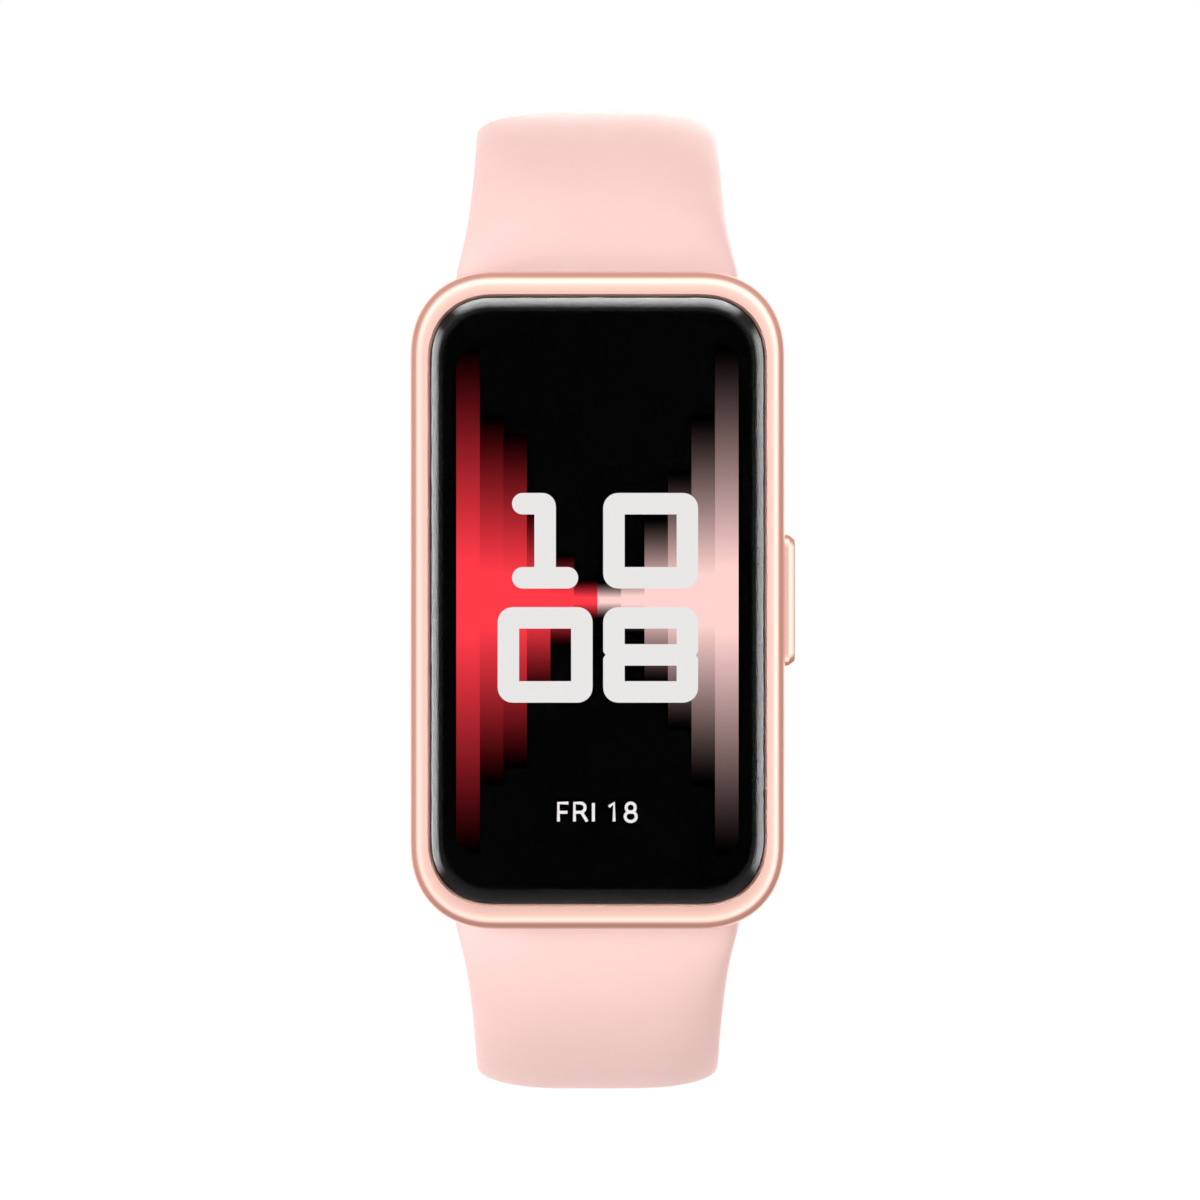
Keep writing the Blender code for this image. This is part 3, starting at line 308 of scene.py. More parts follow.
def loft(rings, joined=False):
    """Skins a row of rings of equal length. The ends are capped, or joined to each other."""
    bm = bmesh.new()
    rows = [[bm.verts.new(point) for point in ring] for ring in rings]
    pairs = list(zip(rows, rows[1:]))
    if joined:
        pairs.append((rows[-1], rows[0]))
    for first, second in pairs:
        for i in range(len(first)):
            j = (i + 1) % len(first)
            bm.faces.new((first[i], first[j], second[j], second[i]))
    if not joined:
        bm.faces.new(list(reversed(rows[0])))
        bm.faces.new(rows[-1])
    return bm


def rounded_outline(half_a, half_b, radius, steps=CORNER_STEPS, power=2.0):
    """A rounded rectangle about (0, 0), as (a, b) points. Its corners are arcs at a power of 2."""
    points = []
    for sign_a, sign_b, start in ((1, 1, 0.0), (-1, 1, 90.0), (-1, -1, 180.0), (1, -1, 270.0)):
        for step in range(steps + 1):
            angle = radians(start + 90.0 * step / steps)
            a = half_a - radius + radius * abs(cos(angle)) ** (2.0 / power)
            b = half_b - radius + radius * abs(sin(angle)) ** (2.0 / power)
            points.append((sign_a * a, sign_b * b))
    return points


def face_ring(half_x, half_z, radius, y, power=2.0):
    """A rounded rectangle parallel to the display, at depth y."""
    return [(x, y, z) for x, z in rounded_outline(half_x, half_z, radius, power=power)]


def arc(centre, radius, start, end, steps, other_radius=None):
    """Points along an arc, or along an oval's edge if it has another radius. Angles in degrees."""
    points = []
    for angle in sweep(start, end, steps):
        b = centre[1] + (other_radius or radius) * sin(angle)
        points.append((centre[0] + radius * cos(angle), b))
    return points


def rod(x0, x1, place, radius, sides=24):
    """A rod parallel to X, at (y, z)."""
    turns = [-2.0 * pi * side / sides for side in range(sides)]
    y, z = place
    return loft(
        [[(x, y + radius * cos(t), z + radius * sin(t)) for t in turns] for x in (x0, x1)]
    )


def block(low, high):
    (x0, y0, z0), (x1, y1, z1) = low, high
    return loft([[(x0, y, z0), (x1, y, z0), (x1, y, z1), (x0, y, z1)] for y in (y0, y1)])


def scene_object(name, data):
    obj = bpy.data.objects.new(name, data)
    bpy.context.scene.collection.objects.link(obj)
    return obj


def shade(mesh, smooth_below):
    """Shades a mesh smooth except across edges sharper than smooth_below degrees."""
    mesh.shade_smooth()
    mesh.set_sharp_from_angle(angle=radians(smooth_below))


def new_object(name, bm, smooth_below=40.0):
    bmesh.ops.recalc_face_normals(bm, faces=bm.faces)
    mesh = bpy.data.meshes.new(name)
    bm.to_mesh(mesh)
    bm.free()
    shade(mesh, smooth_below)
    return scene_object(name, mesh)


def final_mesh(obj):
    """A new mesh of an object as it is with its modifiers, or of a curve."""
    bpy.context.view_layer.update()
    graph = bpy.context.evaluated_depsgraph_get()
    return bpy.data.meshes.new_from_object(obj.evaluated_get(graph))


def settle(obj, smooth_below=40.0):
    """Turns an object's modifiers into its mesh."""
    mesh = final_mesh(obj)
    obj.modifiers.clear()
    obj.data = mesh
    shade(mesh, smooth_below)


def combine(obj, shapes, operation="DIFFERENCE", smooth_below=40.0):
    """Cuts closed shapes out of an object, or joins them to it."""
    helpers = [new_object("helper", bm) for bm in shapes]
    for helper in helpers:
        modifier = obj.modifiers.new("combine", "BOOLEAN")
        modifier.operation = operation
        modifier.object = helper
    settle(obj, smooth_below)
    for helper in helpers:
        bpy.data.objects.remove(helper)


def soften(obj, width, segments):
    """Rounds an object's edges."""
    modifier = obj.modifiers.new("soft_edges", "BEVEL")
    modifier.width, modifier.segments = width, segments
    modifier.angle_limit = radians(35.0)
    modifier.use_clamp_overlap = True
    settle(obj)


def coat(obj, material):
    obj.data.materials.clear()
    obj.data.materials.append(material)


def add(obj, material, body, slot, *nodes):
    """Gives a piece its material and body, and hides the CAD nodes that it stands for. The slot is
    not used.
    """
    coat(obj, material)
    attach(obj, body)
    if nodes:
        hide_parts(*nodes)


# ---------------------------------------------------------------- materials


class Graph:
    """A node tree whose nodes are made and fed in one call."""

    def __init__(self, tree):
        self.nodes, self.links = tree.nodes, tree.links

    def feed(self, node, key, value):
        """Gives an input a value, or links it to the output that drives it."""
        if isinstance(value, bpy.types.NodeSocket):
            self.links.new(value, node.inputs[key])
        else:
            node.inputs[key].default_value = value

    def node(self, kind, inputs, output=0, **settings):
        """Makes a node, and returns one of its outputs."""
        node = self.nodes.new(f"ShaderNode{kind}")
        for name, value in settings.items():
            setattr(node, name, value)
        for key, value in inputs.items():
            self.feed(node, key, value)
        return node.outputs[output]

    def calculate(self, operation, first, second=0.0, **settings):
        return self.node("Math", {0: first, 1: second}, operation=operation, **settings)

    def ranged(self, source, start, end, low, high, interpolation="SMOOTHSTEP"):
        names = ("Value", "From Min", "From Max", "To Min", "To Max")
        inputs = dict(zip(names, (source, start, end, low, high)))
        return self.node("MapRange", inputs, interpolation_type=interpolation)


class Surface(Graph):
    """A Principled material with fine variation from textures in object space.

    Grains and heights are in millimetres. A grain is one size, or one for each of X, Y and Z.
    """

    def __init__(self, name, colour, roughness, metallic=0.0, **sockets):
        self.material = bpy.data.materials.new(name)
        self.material.use_nodes = True
        super().__init__(self.material.node_tree)
        self.shader = self.nodes["Principled BSDF"]
        self.colour, self.roughness, self.relief = colour, roughness, None
        self.set(Base_Color=(*colour, 1.0), Roughness=roughness, Metallic=metallic, **sockets)

    def set(self, **sockets):
        for name, value in sockets.items():
            self.feed(self.shader, name.replace("_", " "), value)

    def texture(self, kind, grain, output=0, detail=None, **settings):
        grains = grain if isinstance(grain, tuple) else (grain,) * 3
        inputs = {0: self.node("TexCoord", {}, "Object"), 1: mm(*grains)}
        place = self.node("VectorMath", inputs, operation="DIVIDE")
        inputs = {"Scale": 1.0, "Vector": place}
        if detail is not None:
            inputs["Detail"] = detail
        return self.node(kind, inputs, output, **settings)

    def noise(self, grain, detail=2.0):
        return self.texture("TexNoise", grain, detail=detail)

    def cells(self, grain):
        return self.texture("TexVoronoi", grain, "Distance", feature="DISTANCE_TO_EDGE")

    def stripes(self, grain, direction="X"):
        return self.texture("TexWave", grain, 1, bands_direction=direction)

    def tint(self, source, other, start=0.3, end=0.7):
        """Blends the base colour towards another where source is high."""
        ramp = self.nodes.new("ShaderNodeValToRGB")
        for i, (position, colour) in enumerate(((start, self.colour), (end, other))):
            ramp.color_ramp.elements[i].position = position
            ramp.color_ramp.elements[i].color = (*colour, 1.0)
        self.feed(ramp, 0, source)
        self.set(Base_Color=ramp.outputs[0])

    def vary_roughness(self, source, amount):
        low, high = self.roughness - amount, self.roughness + amount
        self.set(Roughness=self.ranged(source, 0.3, 0.7, low, high, "LINEAR"))

    def bump(self, source, height):
        """Raises the surface. Later bumps add to earlier ones."""
        inputs = {"Strength": 1.0, "Distance": height * MM, "Height": source}
        if self.relief is not None:
            inputs["Normal"] = self.relief
        self.relief = self.node("Bump", inputs)
        self.set(Normal=self.relief)

    def grained(self, tint, sheen, *reliefs):
        """Noise in colour, roughness and height: each a grain, a detail, and a factor or amount."""
        grain, detail, factor = tint
        self.tint(self.noise(grain, detail), tuple(channel * factor for channel in self.colour))
        grain, detail, amount = sheen
        self.vary_roughness(self.noise(grain, detail), amount)
        for grain, detail, height in reliefs:
            self.bump(self.noise(grain, detail), height)
        return self.material


def satin_rose(name, roughness):
    """Anodised rose metal: fine blasted grain, with slow changes in sheen."""
    surface = Surface(name, ROSE, roughness, 1.0)
    return surface.grained((0.06, 3.0, 0.97), (4.0, 3.0, 0.015), (0.05, 1.0, 0.0004))


def polished_rose(name):
    """Cast buckle metal with the faint lines of polishing."""
    surface = Surface(name, ROSE, 0.20, 1.0)
    sheen, lines = (0.9, 0.05, 0.05), (1.2, 0.03, 0.03)
    return surface.grained((0.8, 4.0, 0.95), (sheen, 3.0, 0.05), (lines, 2.0, 0.0006))


def silicone(name):
    """Soft-touch silicone: a dusty fine grain, a little light inside, and slow colour changes."""
    surface = Surface(name, SILICONE, 0.50, IOR=1.41)
    surface.set(Subsurface_Weight=0.12, Subsurface_Scale=0.6 * MM)
    surface.set(Subsurface_Radius=(1.0, 0.6, 0.5))
    surface.set(Sheen_Weight=0.12, Sheen_Roughness=0.4, Sheen_Tint=(1.0, 0.93, 0.92, 1.0))
    dust, waves = (0.09, 2.0, 0.0035), (2.4, 2.0, 0.006)
    return surface.grained((7.0, 3.0, 0.97), (1.3, 4.0, 0.05), dust, waves)


def moulded(name, colour, roughness, grain, height):
    """Moulded plastic or rubber with a fine spark-eroded texture."""
    surface = Surface(name, colour, roughness)
    return surface.grained((1.5, 3.0, 0.93), (0.6, 3.0, 0.05), (grain, 2.0, height))


def glossy_plastic(name, colour):
    """Polished moulded plastic, with a slight orange-peel and slow changes in gloss."""
    surface = Surface(name, colour, 0.20)
    return surface.grained((0.07, 2.0, 0.97), (5.0, 2.0, 0.02), (1.2, 1.0, 0.0006))


def drawn_metal(name, colour, roughness, grain=(2.0, 0.04, 0.04)):
    """Metal with the fine lines of drawing or rolling."""
    surface = Surface(name, colour, roughness, 1.0)
    return surface.grained((grain, 3.0, 0.82), (grain, 2.0, 0.07), (grain, 2.0, 0.0015))


def polished_glass(name, colour, roughness, ior, grain, detail, amount):
    """Clear or tinted glass, with a trace of fingerprint in its gloss."""
    surface = Surface(name, colour, roughness, Transmission_Weight=1.0, IOR=ior)
    surface.vary_roughness(surface.noise(grain, detail), amount)
    return surface.material


def black_gloss(name):
    """Black print under the glass."""
    surface = Surface(name, PANEL_BLACK, 0.12, Specular_IOR_Level=0.0)
    surface.tint(surface.noise(0.2), (0.0012, 0.0012, 0.0014))
    surface.vary_roughness(surface.noise(0.4), 0.03)
    return surface.material


def display_black(name):
    """The unlit panel, with its rows of pixels."""
    surface = Surface(name, PANEL_BLACK, 0.16, Specular_IOR_Level=0.0)
    surface.tint(surface.stripes(PIXEL, "Z"), (0.0010, 0.0010, 0.0013), 0.4, 0.6)
    surface.vary_roughness(surface.stripes(PIXEL), 0.03)
    return surface.material


def glowing(name, colour, strength, fade=0.0):
    """A lit part of the picture. It dims with a power of the mesh's glow attribute."""
    surface = Surface(name, (0.0, 0.0, 0.0), 0.3, Specular_IOR_Level=0.0)
    surface.set(Emission_Color=(*colour, 1.0), Emission_Strength=strength)
    level = surface.ranged(surface.stripes(PIXEL, "Z"), 0.0, 1.0, 0.94, 1.0, "LINEAR")
    if fade:
        glow = surface.node("Attribute", {}, "Fac", attribute_name="glow")
        curve = surface.calculate("POWER", glow, fade)
        curve = surface.calculate("MULTIPLY", curve, GLOW_GAIN, use_clamp=True)
        level = surface.calculate("MULTIPLY", level, curve)
    scaled = surface.node("VectorMath", {0: colour, "Scale": level}, operation="SCALE")
    surface.set(Emission_Color=scaled)
    return surface.material


def circuit_board(name, colour, copper):
    """Solder mask over copper tracks."""
    surface = Surface(name, colour, 0.35)
    surface.tint(surface.cells(0.9), copper, 0.10, 0.06)
    surface.vary_roughness(surface.noise(0.5, 3.0), 0.08)
    surface.bump(surface.cells(0.9), 0.006)
    return surface.material


def flex_circuit(name):
    """Amber film with parallel copper tracks."""
    surface = Surface(name, (0.42, 0.19, 0.03), 0.32)
    surface.tint(surface.stripes(0.35), (0.72, 0.36, 0.12), 0.55, 0.62)
    surface.bump(surface.stripes(0.35), 0.008)
    return surface.material


def pouch_foil(name):
    """Laminated foil, slightly wrinkled."""
    surface = Surface(name, (0.60, 0.61, 0.63), 0.34, 0.85)
    surface.tint(surface.noise(1.6, 4.0), (0.50, 0.51, 0.53))
    surface.vary_roughness(surface.noise(0.9, 3.0), 0.06)
    surface.bump(surface.noise(1.8, 5.0), 0.05)
    return surface.material


def diode(name, colour, line):
    """A small optical chip with a grid of fine lines."""
    surface = Surface(name, colour, 0.22, Coat_Weight=0.5)
    surface.tint(surface.stripes(0.30), line, 0.86, 0.94)
    surface.bump(surface.stripes(0.30, "Z"), 0.004)
    return surface.material


# ---------------------------------------------------------------- case


def descend(places, slope_at):
    """Drops down a surface at places across it. Its slope, in degrees, is known in between."""
    drops = [0.0]
    for before, after in zip(places, places[1:]):
        slope = radians(slope_at((before + after) / 2))
        drops.append(drops[-1] + abs(after - before) * tan(slope))
    return drops


def rim_rings():
    """The front rim, from the edge of the glass's pocket out to the flat side of the case."""
    start, rise, power = RIM_SLOPES
    shares = [1.0 - (1.0 - i / RIM_STEPS) ** 1.6 for i in range(RIM_STEPS + 1)]
    insets = [RIM_WIDTH * (1.0 - share) for share in shares]
    drops = descend(insets, lambda inset: start + rise * (1.0 - inset / RIM_WIDTH) ** power)
    inner = (GLASS_HIGH.x + RIM_LIP, GLASS_HIGH.z + RIM_LIP, GLASS_CORNER + RIM_LIP)
    outer = (CASE_HIGH.x, CASE_HIGH.z, CASE_CORNER)
    rings = []
    for share, drop in zip(shares, drops):
        sizes = [mixed(a, b, share) for a, b in zip(inner, outer)]
        rings.append(face_ring(*sizes, CASE_LOW.y + drop, CORNER_POWER))
    return rings


def rear_edge_rings():
    """The rounded edge on the wrist side, from the flat side of the case inwards."""
    rings = []
    for angle in sweep(90.0, 0.0, 14):
        inset = REAR_EDGE_WIDTH * (1.0 - sin(angle))
        y = CASE_HIGH.y - REAR_EDGE_DEPTH * (1.0 - cos(angle))
        sizes = (CASE_HIGH.x - inset, CASE_HIGH.z - inset, CASE_CORNER - inset)
        rings.append(face_ring(*sizes, y, CORNER_POWER))
    return rings


def glass_ring(y, grow_x, grow_z=None):
    """The outline of the glass at depth y, grown outwards, by grow_z at its ends if given."""
    half_z = GLASS_HIGH.z + (grow_x if grow_z is None else grow_z)
    return face_ring(GLASS_HIGH.x + grow_x, half_z, GLASS_CORNER + grow_x, y, CORNER_POWER)


def button_ring(x, grow, radius, steps):
    """The outline of the button, grown outwards, at x."""
    outline = rounded_outline(BUTTON_HALF_Y + grow, BUTTON_HIGH.z + grow, radius, steps)
    return [(x, BUTTON_Y + y, z) for y, z in outline]


def case_cutters():
    """The channels for the straps, the holes for the spring bars' tips, and the button's room."""
    shapes = []
    middle_y = CHANNEL_ROOF_Y + CHANNEL_HALF_Y
    outline = rounded_outline(CHANNEL_HALF_X, CHANNEL_HALF_Y, CHANNEL_CORNER, 6)
    for side in (1, -1):
        ends = sorted((side * CHANNEL_INNER_Z, side * (CASE_HIGH.z + MM)))
        shapes.append(loft([[(x, middle_y + y, z) for x, y in outline] for z in ends]))
        high = (CHANNEL_HALF_X, CASE_HIGH.y + MM, ends[1])
        shapes.append(block((-CHANNEL_HALF_X, middle_y, ends[0]), high))
        for way in (1, -1):
            start, end = (way * x for x in TIP_HOLE_X)
            shapes.append(rod(start, end, (PIVOT.y, side * PIVOT.z), TIP_HOLE))
    radius = BUTTON_HALF_Y + BUTTON_GAP / 2
    depths = (BUTTON_HIGH.x - BUTTON_ROOM, CASE_HIGH.x + MM)
    shapes.append(loft([button_ring(x, BUTTON_GAP, radius, 12) for x in depths]))
    shapes.append(rod(*STEM_HOLE_X, (BUTTON_Y, 0.0), STEM_HOLE))
    return shapes


def make_case():
    """A closed profile carried round the outline, then cut for the straps and the button."""
    rings = rim_rings() + rear_edge_rings()
    for outline, start_y, end_y in CASE_POCKETS:
        rings += [face_ring(*outline, y) for y in (start_y, end_y)]
    rings += [glass_ring(y, GLASS_GAP) for y in (LEDGE_Y, CASE_LOW.y + LIP_DEPTH)]
    case = new_object("case_shell", loft(rings, joined=True))
    combine(case, case_cutters())
    add(case, satin_rose("anodised_case", 0.29), "case", "case_metal", "case_frame")


def glass_rings():
    """From the back of the glass up its edge, which is wider at the ends, to its flat face."""
    rings = [glass_ring(GLASS_HIGH.y, -GLASS_INSET)]
    shares = spread(0.0, 1.0, 22)
    outer, inner, power = GLASS_SLOPES
    drops = descend(shares, lambda share: mixed(outer, inner, share**power))
    reaches = [(share * GLASS_EDGE_X, share * GLASS_EDGE_Z) for share in shares]
    heights = [GLASS_LOW.y + (drops[-1] - drop) * GLASS_EDGE_X for drop in drops]
    for inset in spread(0.1 * MM, 0.5 * MM, 3):
        reaches.append((GLASS_EDGE_X + inset, GLASS_EDGE_Z + inset))
        heights.append(GLASS_LOW.y)
    for (x, z), y in zip(reaches, heights):
        rings.append(glass_ring(y, -GLASS_INSET - x, -GLASS_INSET - z))
    return rings


def make_glass():
    glass = new_object("cover_glass_clear", loft(glass_rings()), 50.0)
    clear = polished_glass("cover_glass_clear", (1.0, 1.0, 1.0), 0.02, 1.22, 3.0, 4.0, 0.004)
    add(glass, clear, "case", "cover_glass", "cover_glass")
    inner = (PANEL_HIGH.x - INK_OVERLAP, PANEL_HIGH.z - INK_OVERLAP, INK_CORNER)
    front, back = (GLASS_HIGH.y + depth for depth in INK_DEPTHS)
    rings = [glass_ring(y, -GLASS_INSET) for y in (front, back)]
    rings += [face_ring(*inner, y) for y in (back, front)]
    ink = new_object("cover_ink", loft(rings, joined=True))
    add(ink, black_gloss("cover_ink_black"), "case", "cover_glass")


def make_rear():
    """The domed cover on the wrist side, with its sensor window and two charging contacts."""
    rings = [face_ring(*mm(*step)) for step in REAR_SECTION]
    cover = new_object("rear_shell", loft(rings, joined=True), 50.0)
    # The contacts' holes run along Y.
    holes = []
    for side in (1, -1):
        outline = arc((side * CONTACT.x, CONTACT.z), CONTACT_HOLE, 0.0, 360.0, 32)[:-1]
        holes.append(loft([[(x, y, z) for x, z in outline] for y in CONTACT_HOLE_Y]))
    combine(cover, holes)
    material = glossy_plastic("rear_plastic_pink", REAR_PINK)
    add(cover, material, "case", "rear_plastic", "rear_cover")
    sizes = (WINDOW_HIGH.x, WINDOW_HIGH.z, WINDOW_CORNER)
    rings = [face_ring(*sizes, WINDOW_LOW.y), face_ring(*sizes, -WINDOW_EDGE_DEPTH)]
    for angle in sweep(15.0, 90.0, 6):
        inset = WINDOW_EDGE_WIDTH * (1.0 - cos(angle))
        y = -WINDOW_EDGE_DEPTH * (1.0 - sin(angle))
        rings.append(face_ring(*(size - inset for size in sizes), y))
    window = new_object("sensor_lens", loft(rings), 50.0)
    smoked = polished_glass("sensor_glass", (0.50, 0.51, 0.53), 0.04, 1.52, 2.0, 3.0, 0.02)
    add(window, smoked, "case", "sensor_glass", "sensor_window")


def make_button():
    """The pill-shaped button with a bright bevel, and its stem."""
    face = BUTTON_HIGH.x
    rings = []
    for inset, depth in BUTTON_PROFILE:
        inset *= MM
        rings.append(button_ring(face - depth * MM, -inset, BUTTON_HALF_Y - inset, 14))
    cap = new_object("button_cap", loft(rings), 30.0)
    stem = rod(BUTTON_LOW.x, face - STEM_END, (BUTTON_Y, 0.0), STEM_RADIUS)
    combine(cap, [stem], "UNION", 30.0)
    add(cap, satin_rose("anodised_button", 0.24), "button", "button_metal", "side_button")


# ---------------------------------------------------------------- the picture on the display


def rounded_polygon(corners, steps=8):
    """A closed outline through (x, z, radius) corners."""
    points = []
    for i, (x, z, radius) in enumerate(corners):
        corner = Vector((x, z))
        back = (Vector(corners[i - 1][:2]) - corner).normalized()
        ahead = (Vector(corners[(i + 1) % len(corners)][:2]) - corner).normalized()
        if radius <= 0.0:
            points.append(corner)
            continue
        half = back.angle(ahead) / 2
        reach = radius / tan(half)
        centre = corner + (back + ahead).normalized() * radius / sin(half)
        start, end = corner + back * reach - centre, corner + ahead * reach - centre
        for angle in spread(0.0, -start.angle_signed(end), steps):
            cosine, sine = cos(angle), sin(angle)
            turned = (start.x * cosine - start.y * sine, start.x * sine + start.y * cosine)
            points.append(centre + Vector(turned))
    return points


def drawn(name, lines, y, width=0.0):
    """A thin mesh that faces -Y at depth y: filled outlines, or round-ended lines of a width."""
    curve = bpy.data.curves.new(name, "CURVE")
    if width:
        curve.dimensions, curve.use_fill_caps = "3D", True
        curve.bevel_depth, curve.bevel_resolution = width / 2, 3
    else:
        curve.dimensions, curve.fill_mode = "2D", "BOTH"
        curve.extrude = PICTURE_HALF_THICK
    for line in lines:
        spline = curve.splines.new("POLY")
        spline.points.add(len(line) - 1)
        spline.use_cyclic_u = not width
        for point, place in zip(spline.points, line):
            point.co = (*place, 0.0, 1.0)
    flat = scene_object(f"{name}_flat", curve)
    mesh = final_mesh(flat)
    bpy.data.objects.remove(flat)
    pressed = LINE_PRESSED if width else 1.0
    for vertex in mesh.vertices:
        x, z, depth = vertex.co
        vertex.co = (x, y - depth * pressed, z)
    bm = bmesh.new()
    bm.from_mesh(mesh)
    bmesh.ops.remove_doubles(bm, verts=bm.verts, dist=0.0005 * MM)
    bpy.data.meshes.remove(mesh)
    return new_object(name, bm, 20.0)


def rectangle(x0, z0, x1, z1, radius=0.0):
    return rounded_polygon([(x0, z0, radius), (x1, z0, radius), (x1, z1, radius), (x0, z1, radius)])


def moved(outline, x, z):
    return [(point[0] + x, point[1] + z) for point in outline]


def digit_zero():
    w, h, s = DIGIT_HALF_WIDTH, DIGIT_HALF_HEIGHT, DIGIT_STROKE
    return [rectangle(-w, -h, w, h, DIGIT_CORNER), rectangle(s - w, s - h, w - s, h - s)]


def digit_one():
    w, h, s = DIGIT_STROKE * 1.54, DIGIT_HALF_HEIGHT, DIGIT_STROKE
    end = s / 2 - 0.01 * MM
    outline = [(-w, h, end), (s / 2, h, 0.9 * MM), (s / 2, s - h, 0.0), (w, s - h, end)]
    outline += [(w, -h, end), (-w, -h, end), (-w, s - h, end), (-s / 2, s - h, 0.0)]
    outline += [(-s / 2, h - s, 0.0), (-w, h - s, end)]
    return [rounded_polygon(outline)]


def digit_eight():
    """Two counters in a block that narrows at its waist."""
    w, h, s = DIGIT_HALF_WIDTH, DIGIT_HALF_HEIGHT, DIGIT_STROKE
    right = [(w, -h, DIGIT_CORNER), (w, -WAIST_HALF_HEIGHT, WAIST_CORNER)]
    right += [(w - WAIST_DEPTH, 0.0, 0.0)] + [(x, -z, radius) for x, z, radius in right[::-1]]
    outline = right + [(-x, z, radius) for x, z, radius in reversed(right)]
    upper = rectangle(s - w, s / 2, w - s, h - s)
    lower = rectangle(s - w, s - h, w - s, -s / 2)
    return [rounded_polygon(outline), upper, lower]


def date_strokes():
    """The centre lines of a weekday and a date: FRI 18."""
    h = DATE_HALF_HEIGHT
    f, f_arm, f_bar, r, bowl, r_leg, r_foot, i, one, flag, eight = DATE_COLUMNS
    return [
        [(f, -h), (f, h), (f_arm, h)],
        [(f, 0.0), (f_bar, 0.0)],
        [(r, -h), (r, h)] + arc((bowl, h / 2), 0.30 * MM, 90.0, -90.0, 12, h / 2) + [(r, 0.0)],
        [(r_leg, 0.0), (r_foot, -h)],
        [(i, -h), (i, h)],
        [(one, -h), (one, h), (flag, 0.6 * h)],
        arc((eight, 0.5 * h), 0.30 * MM, 0.0, 360.0, 24, 0.5 * h),
        arc((eight, -0.47 * h), 0.37 * MM, 0.0, 360.0, 24, 0.53 * h),
    ]


def make_digits(y):
    left, right = DIGIT_COLUMNS
    top, bottom = DIGIT_ROWS
    outlines = []
    for shape, x, z in (
        (digit_one(), left, top),
        (digit_zero(), right, top),
        (digit_zero(), left, bottom),
        (digit_eight(), right, bottom),
    ):
        outlines += [moved(outline, x, z) for outline in shape]
    digits = drawn("time_digits", outlines, y)
    add(digits, glowing("face_white", FACE_WHITE, 1.0), "case", "display")
    strokes = [moved(stroke, 0.0, DATE_Z) for stroke in date_strokes()]
    date = drawn("date_text", strokes, y, DATE_STROKE)
    add(date, glowing("face_date_white", FACE_WHITE, 1.05), "case", "display")


def bar_levels(reach, corner):
    """Heights along a bar, with how far its outer side is set back at each."""
    levels = [(0.0, 0.0), (reach - corner, 0.0)]
    if corner:
        for angle in sweep(11.0, 88.0, 7):
            height = reach - corner * (1.0 - sin(angle))
            levels.append((height, corner * (1.0 - cos(angle))))
    return [(-z, inset) for z, inset in reversed(levels[1:])] + levels


def make_bars(label, side, reaches, colour, fade, y):
    """Columns of light, shorter towards the middle of the display and dimmer at their ends."""
    bm = bmesh.new()
    glow = bm.verts.layers.float.new("glow")
    front, back = y - PICTURE_HALF_THICK, y + PICTURE_HALF_THICK
    for number, reach in enumerate(reaches):
        outer = BAR_WIDTH * (len(reaches) - number)
        inner = side * (outer - BAR_WIDTH)
        rows = []
        for z, inset in bar_levels(reach, 0.0 if number else BAR_CORNER):
            x = side * (outer - inset)
            corners = ((x, front), (inner, front), (inner, back), (x, back))
            row = [bm.verts.new((x, depth, z)) for x, depth in corners]
            for vertex in row:
                vertex[glow] = 1.0 - abs(z) / reach
            rows.append(row)
        for low, high in zip(rows, rows[1:]):
            for i in range(4):
                bm.faces.new((low[i], low[(i + 1) % 4], high[(i + 1) % 4], high[i]))
        bm.faces.new(rows[0])
        bm.faces.new(rows[-1])
    bars = new_object(f"face_bars_{label}", bm, 20.0)
    add(bars, glowing(f"face_{label}_glow", colour, 1.06, fade), "case", "display")


def make_picture():
    y = PANEL_LOW.y - BARS_LIFT
    make_bars("left", -1, LEFT_REACHES, FACE_RED, 1.85, y)
    make_bars("right", 1, RIGHT_REACHES, FACE_PINK, 2.15, y)
    make_digits(PANEL_LOW.y - DIGITS_LIFT)


# ---------------------------------------------------------------- straps


def loop_angle(length):
    """The direction of the outward normal at a length along the upper half of the loop."""
    if length <= 0.0:
        return LUG_ANGLE
    if length < FRONT_LENGTH:
        return LUG_ANGLE + length / FRONT_RADIUS
    if length < FRONT_LENGTH + SIDE_LENGTH:
        return (length - FRONT_LENGTH) / SIDE_RADIUS
    return BACK_ANGLE + (length - FRONT_LENGTH - SIDE_LENGTH) / BACK_RADIUS


def loop_point(length, lift=0.0):
    """(y, z) of the loop at a length from the upper pivot, moved outwards by lift."""
    if length > HALF_LOOP:
        y, z = loop_point(2.0 * HALF_LOOP - length, lift)
        return y, -z
    angle = loop_angle(length)
    if angle > BACK_ANGLE:
        centre, radius = BACK_CENTRE, BACK_RADIUS
    elif angle > 0.0:
        centre, radius = SIDE_CENTRE, SIDE_RADIUS
    else:
        centre, radius = FRONT_CENTRE, FRONT_RADIUS
    straight = min(length, 0.0)
    y = centre[0] + (radius + lift) * sin(angle) + straight * cos(angle)
    z = centre[1] + (radius + lift) * cos(angle) - straight * sin(angle)
    return y, z


def half_width(length):
    return STRAP_HALF_WIDTH + STRAP_FLARE * exp(-max(length - FLARE_START, 0.0) / FLARE_FADE)


def half_thickness(length):
    front = mixed(LUG_HALF_THICK, SIDE_HALF_THICK, smooth_step(length, 2.0 * MM, 20.0 * MM))
    share = smooth_step(length, FRONT_LENGTH, FRONT_LENGTH + SIDE_LENGTH)
    return mixed(front, BACK_HALF_THICK, share)


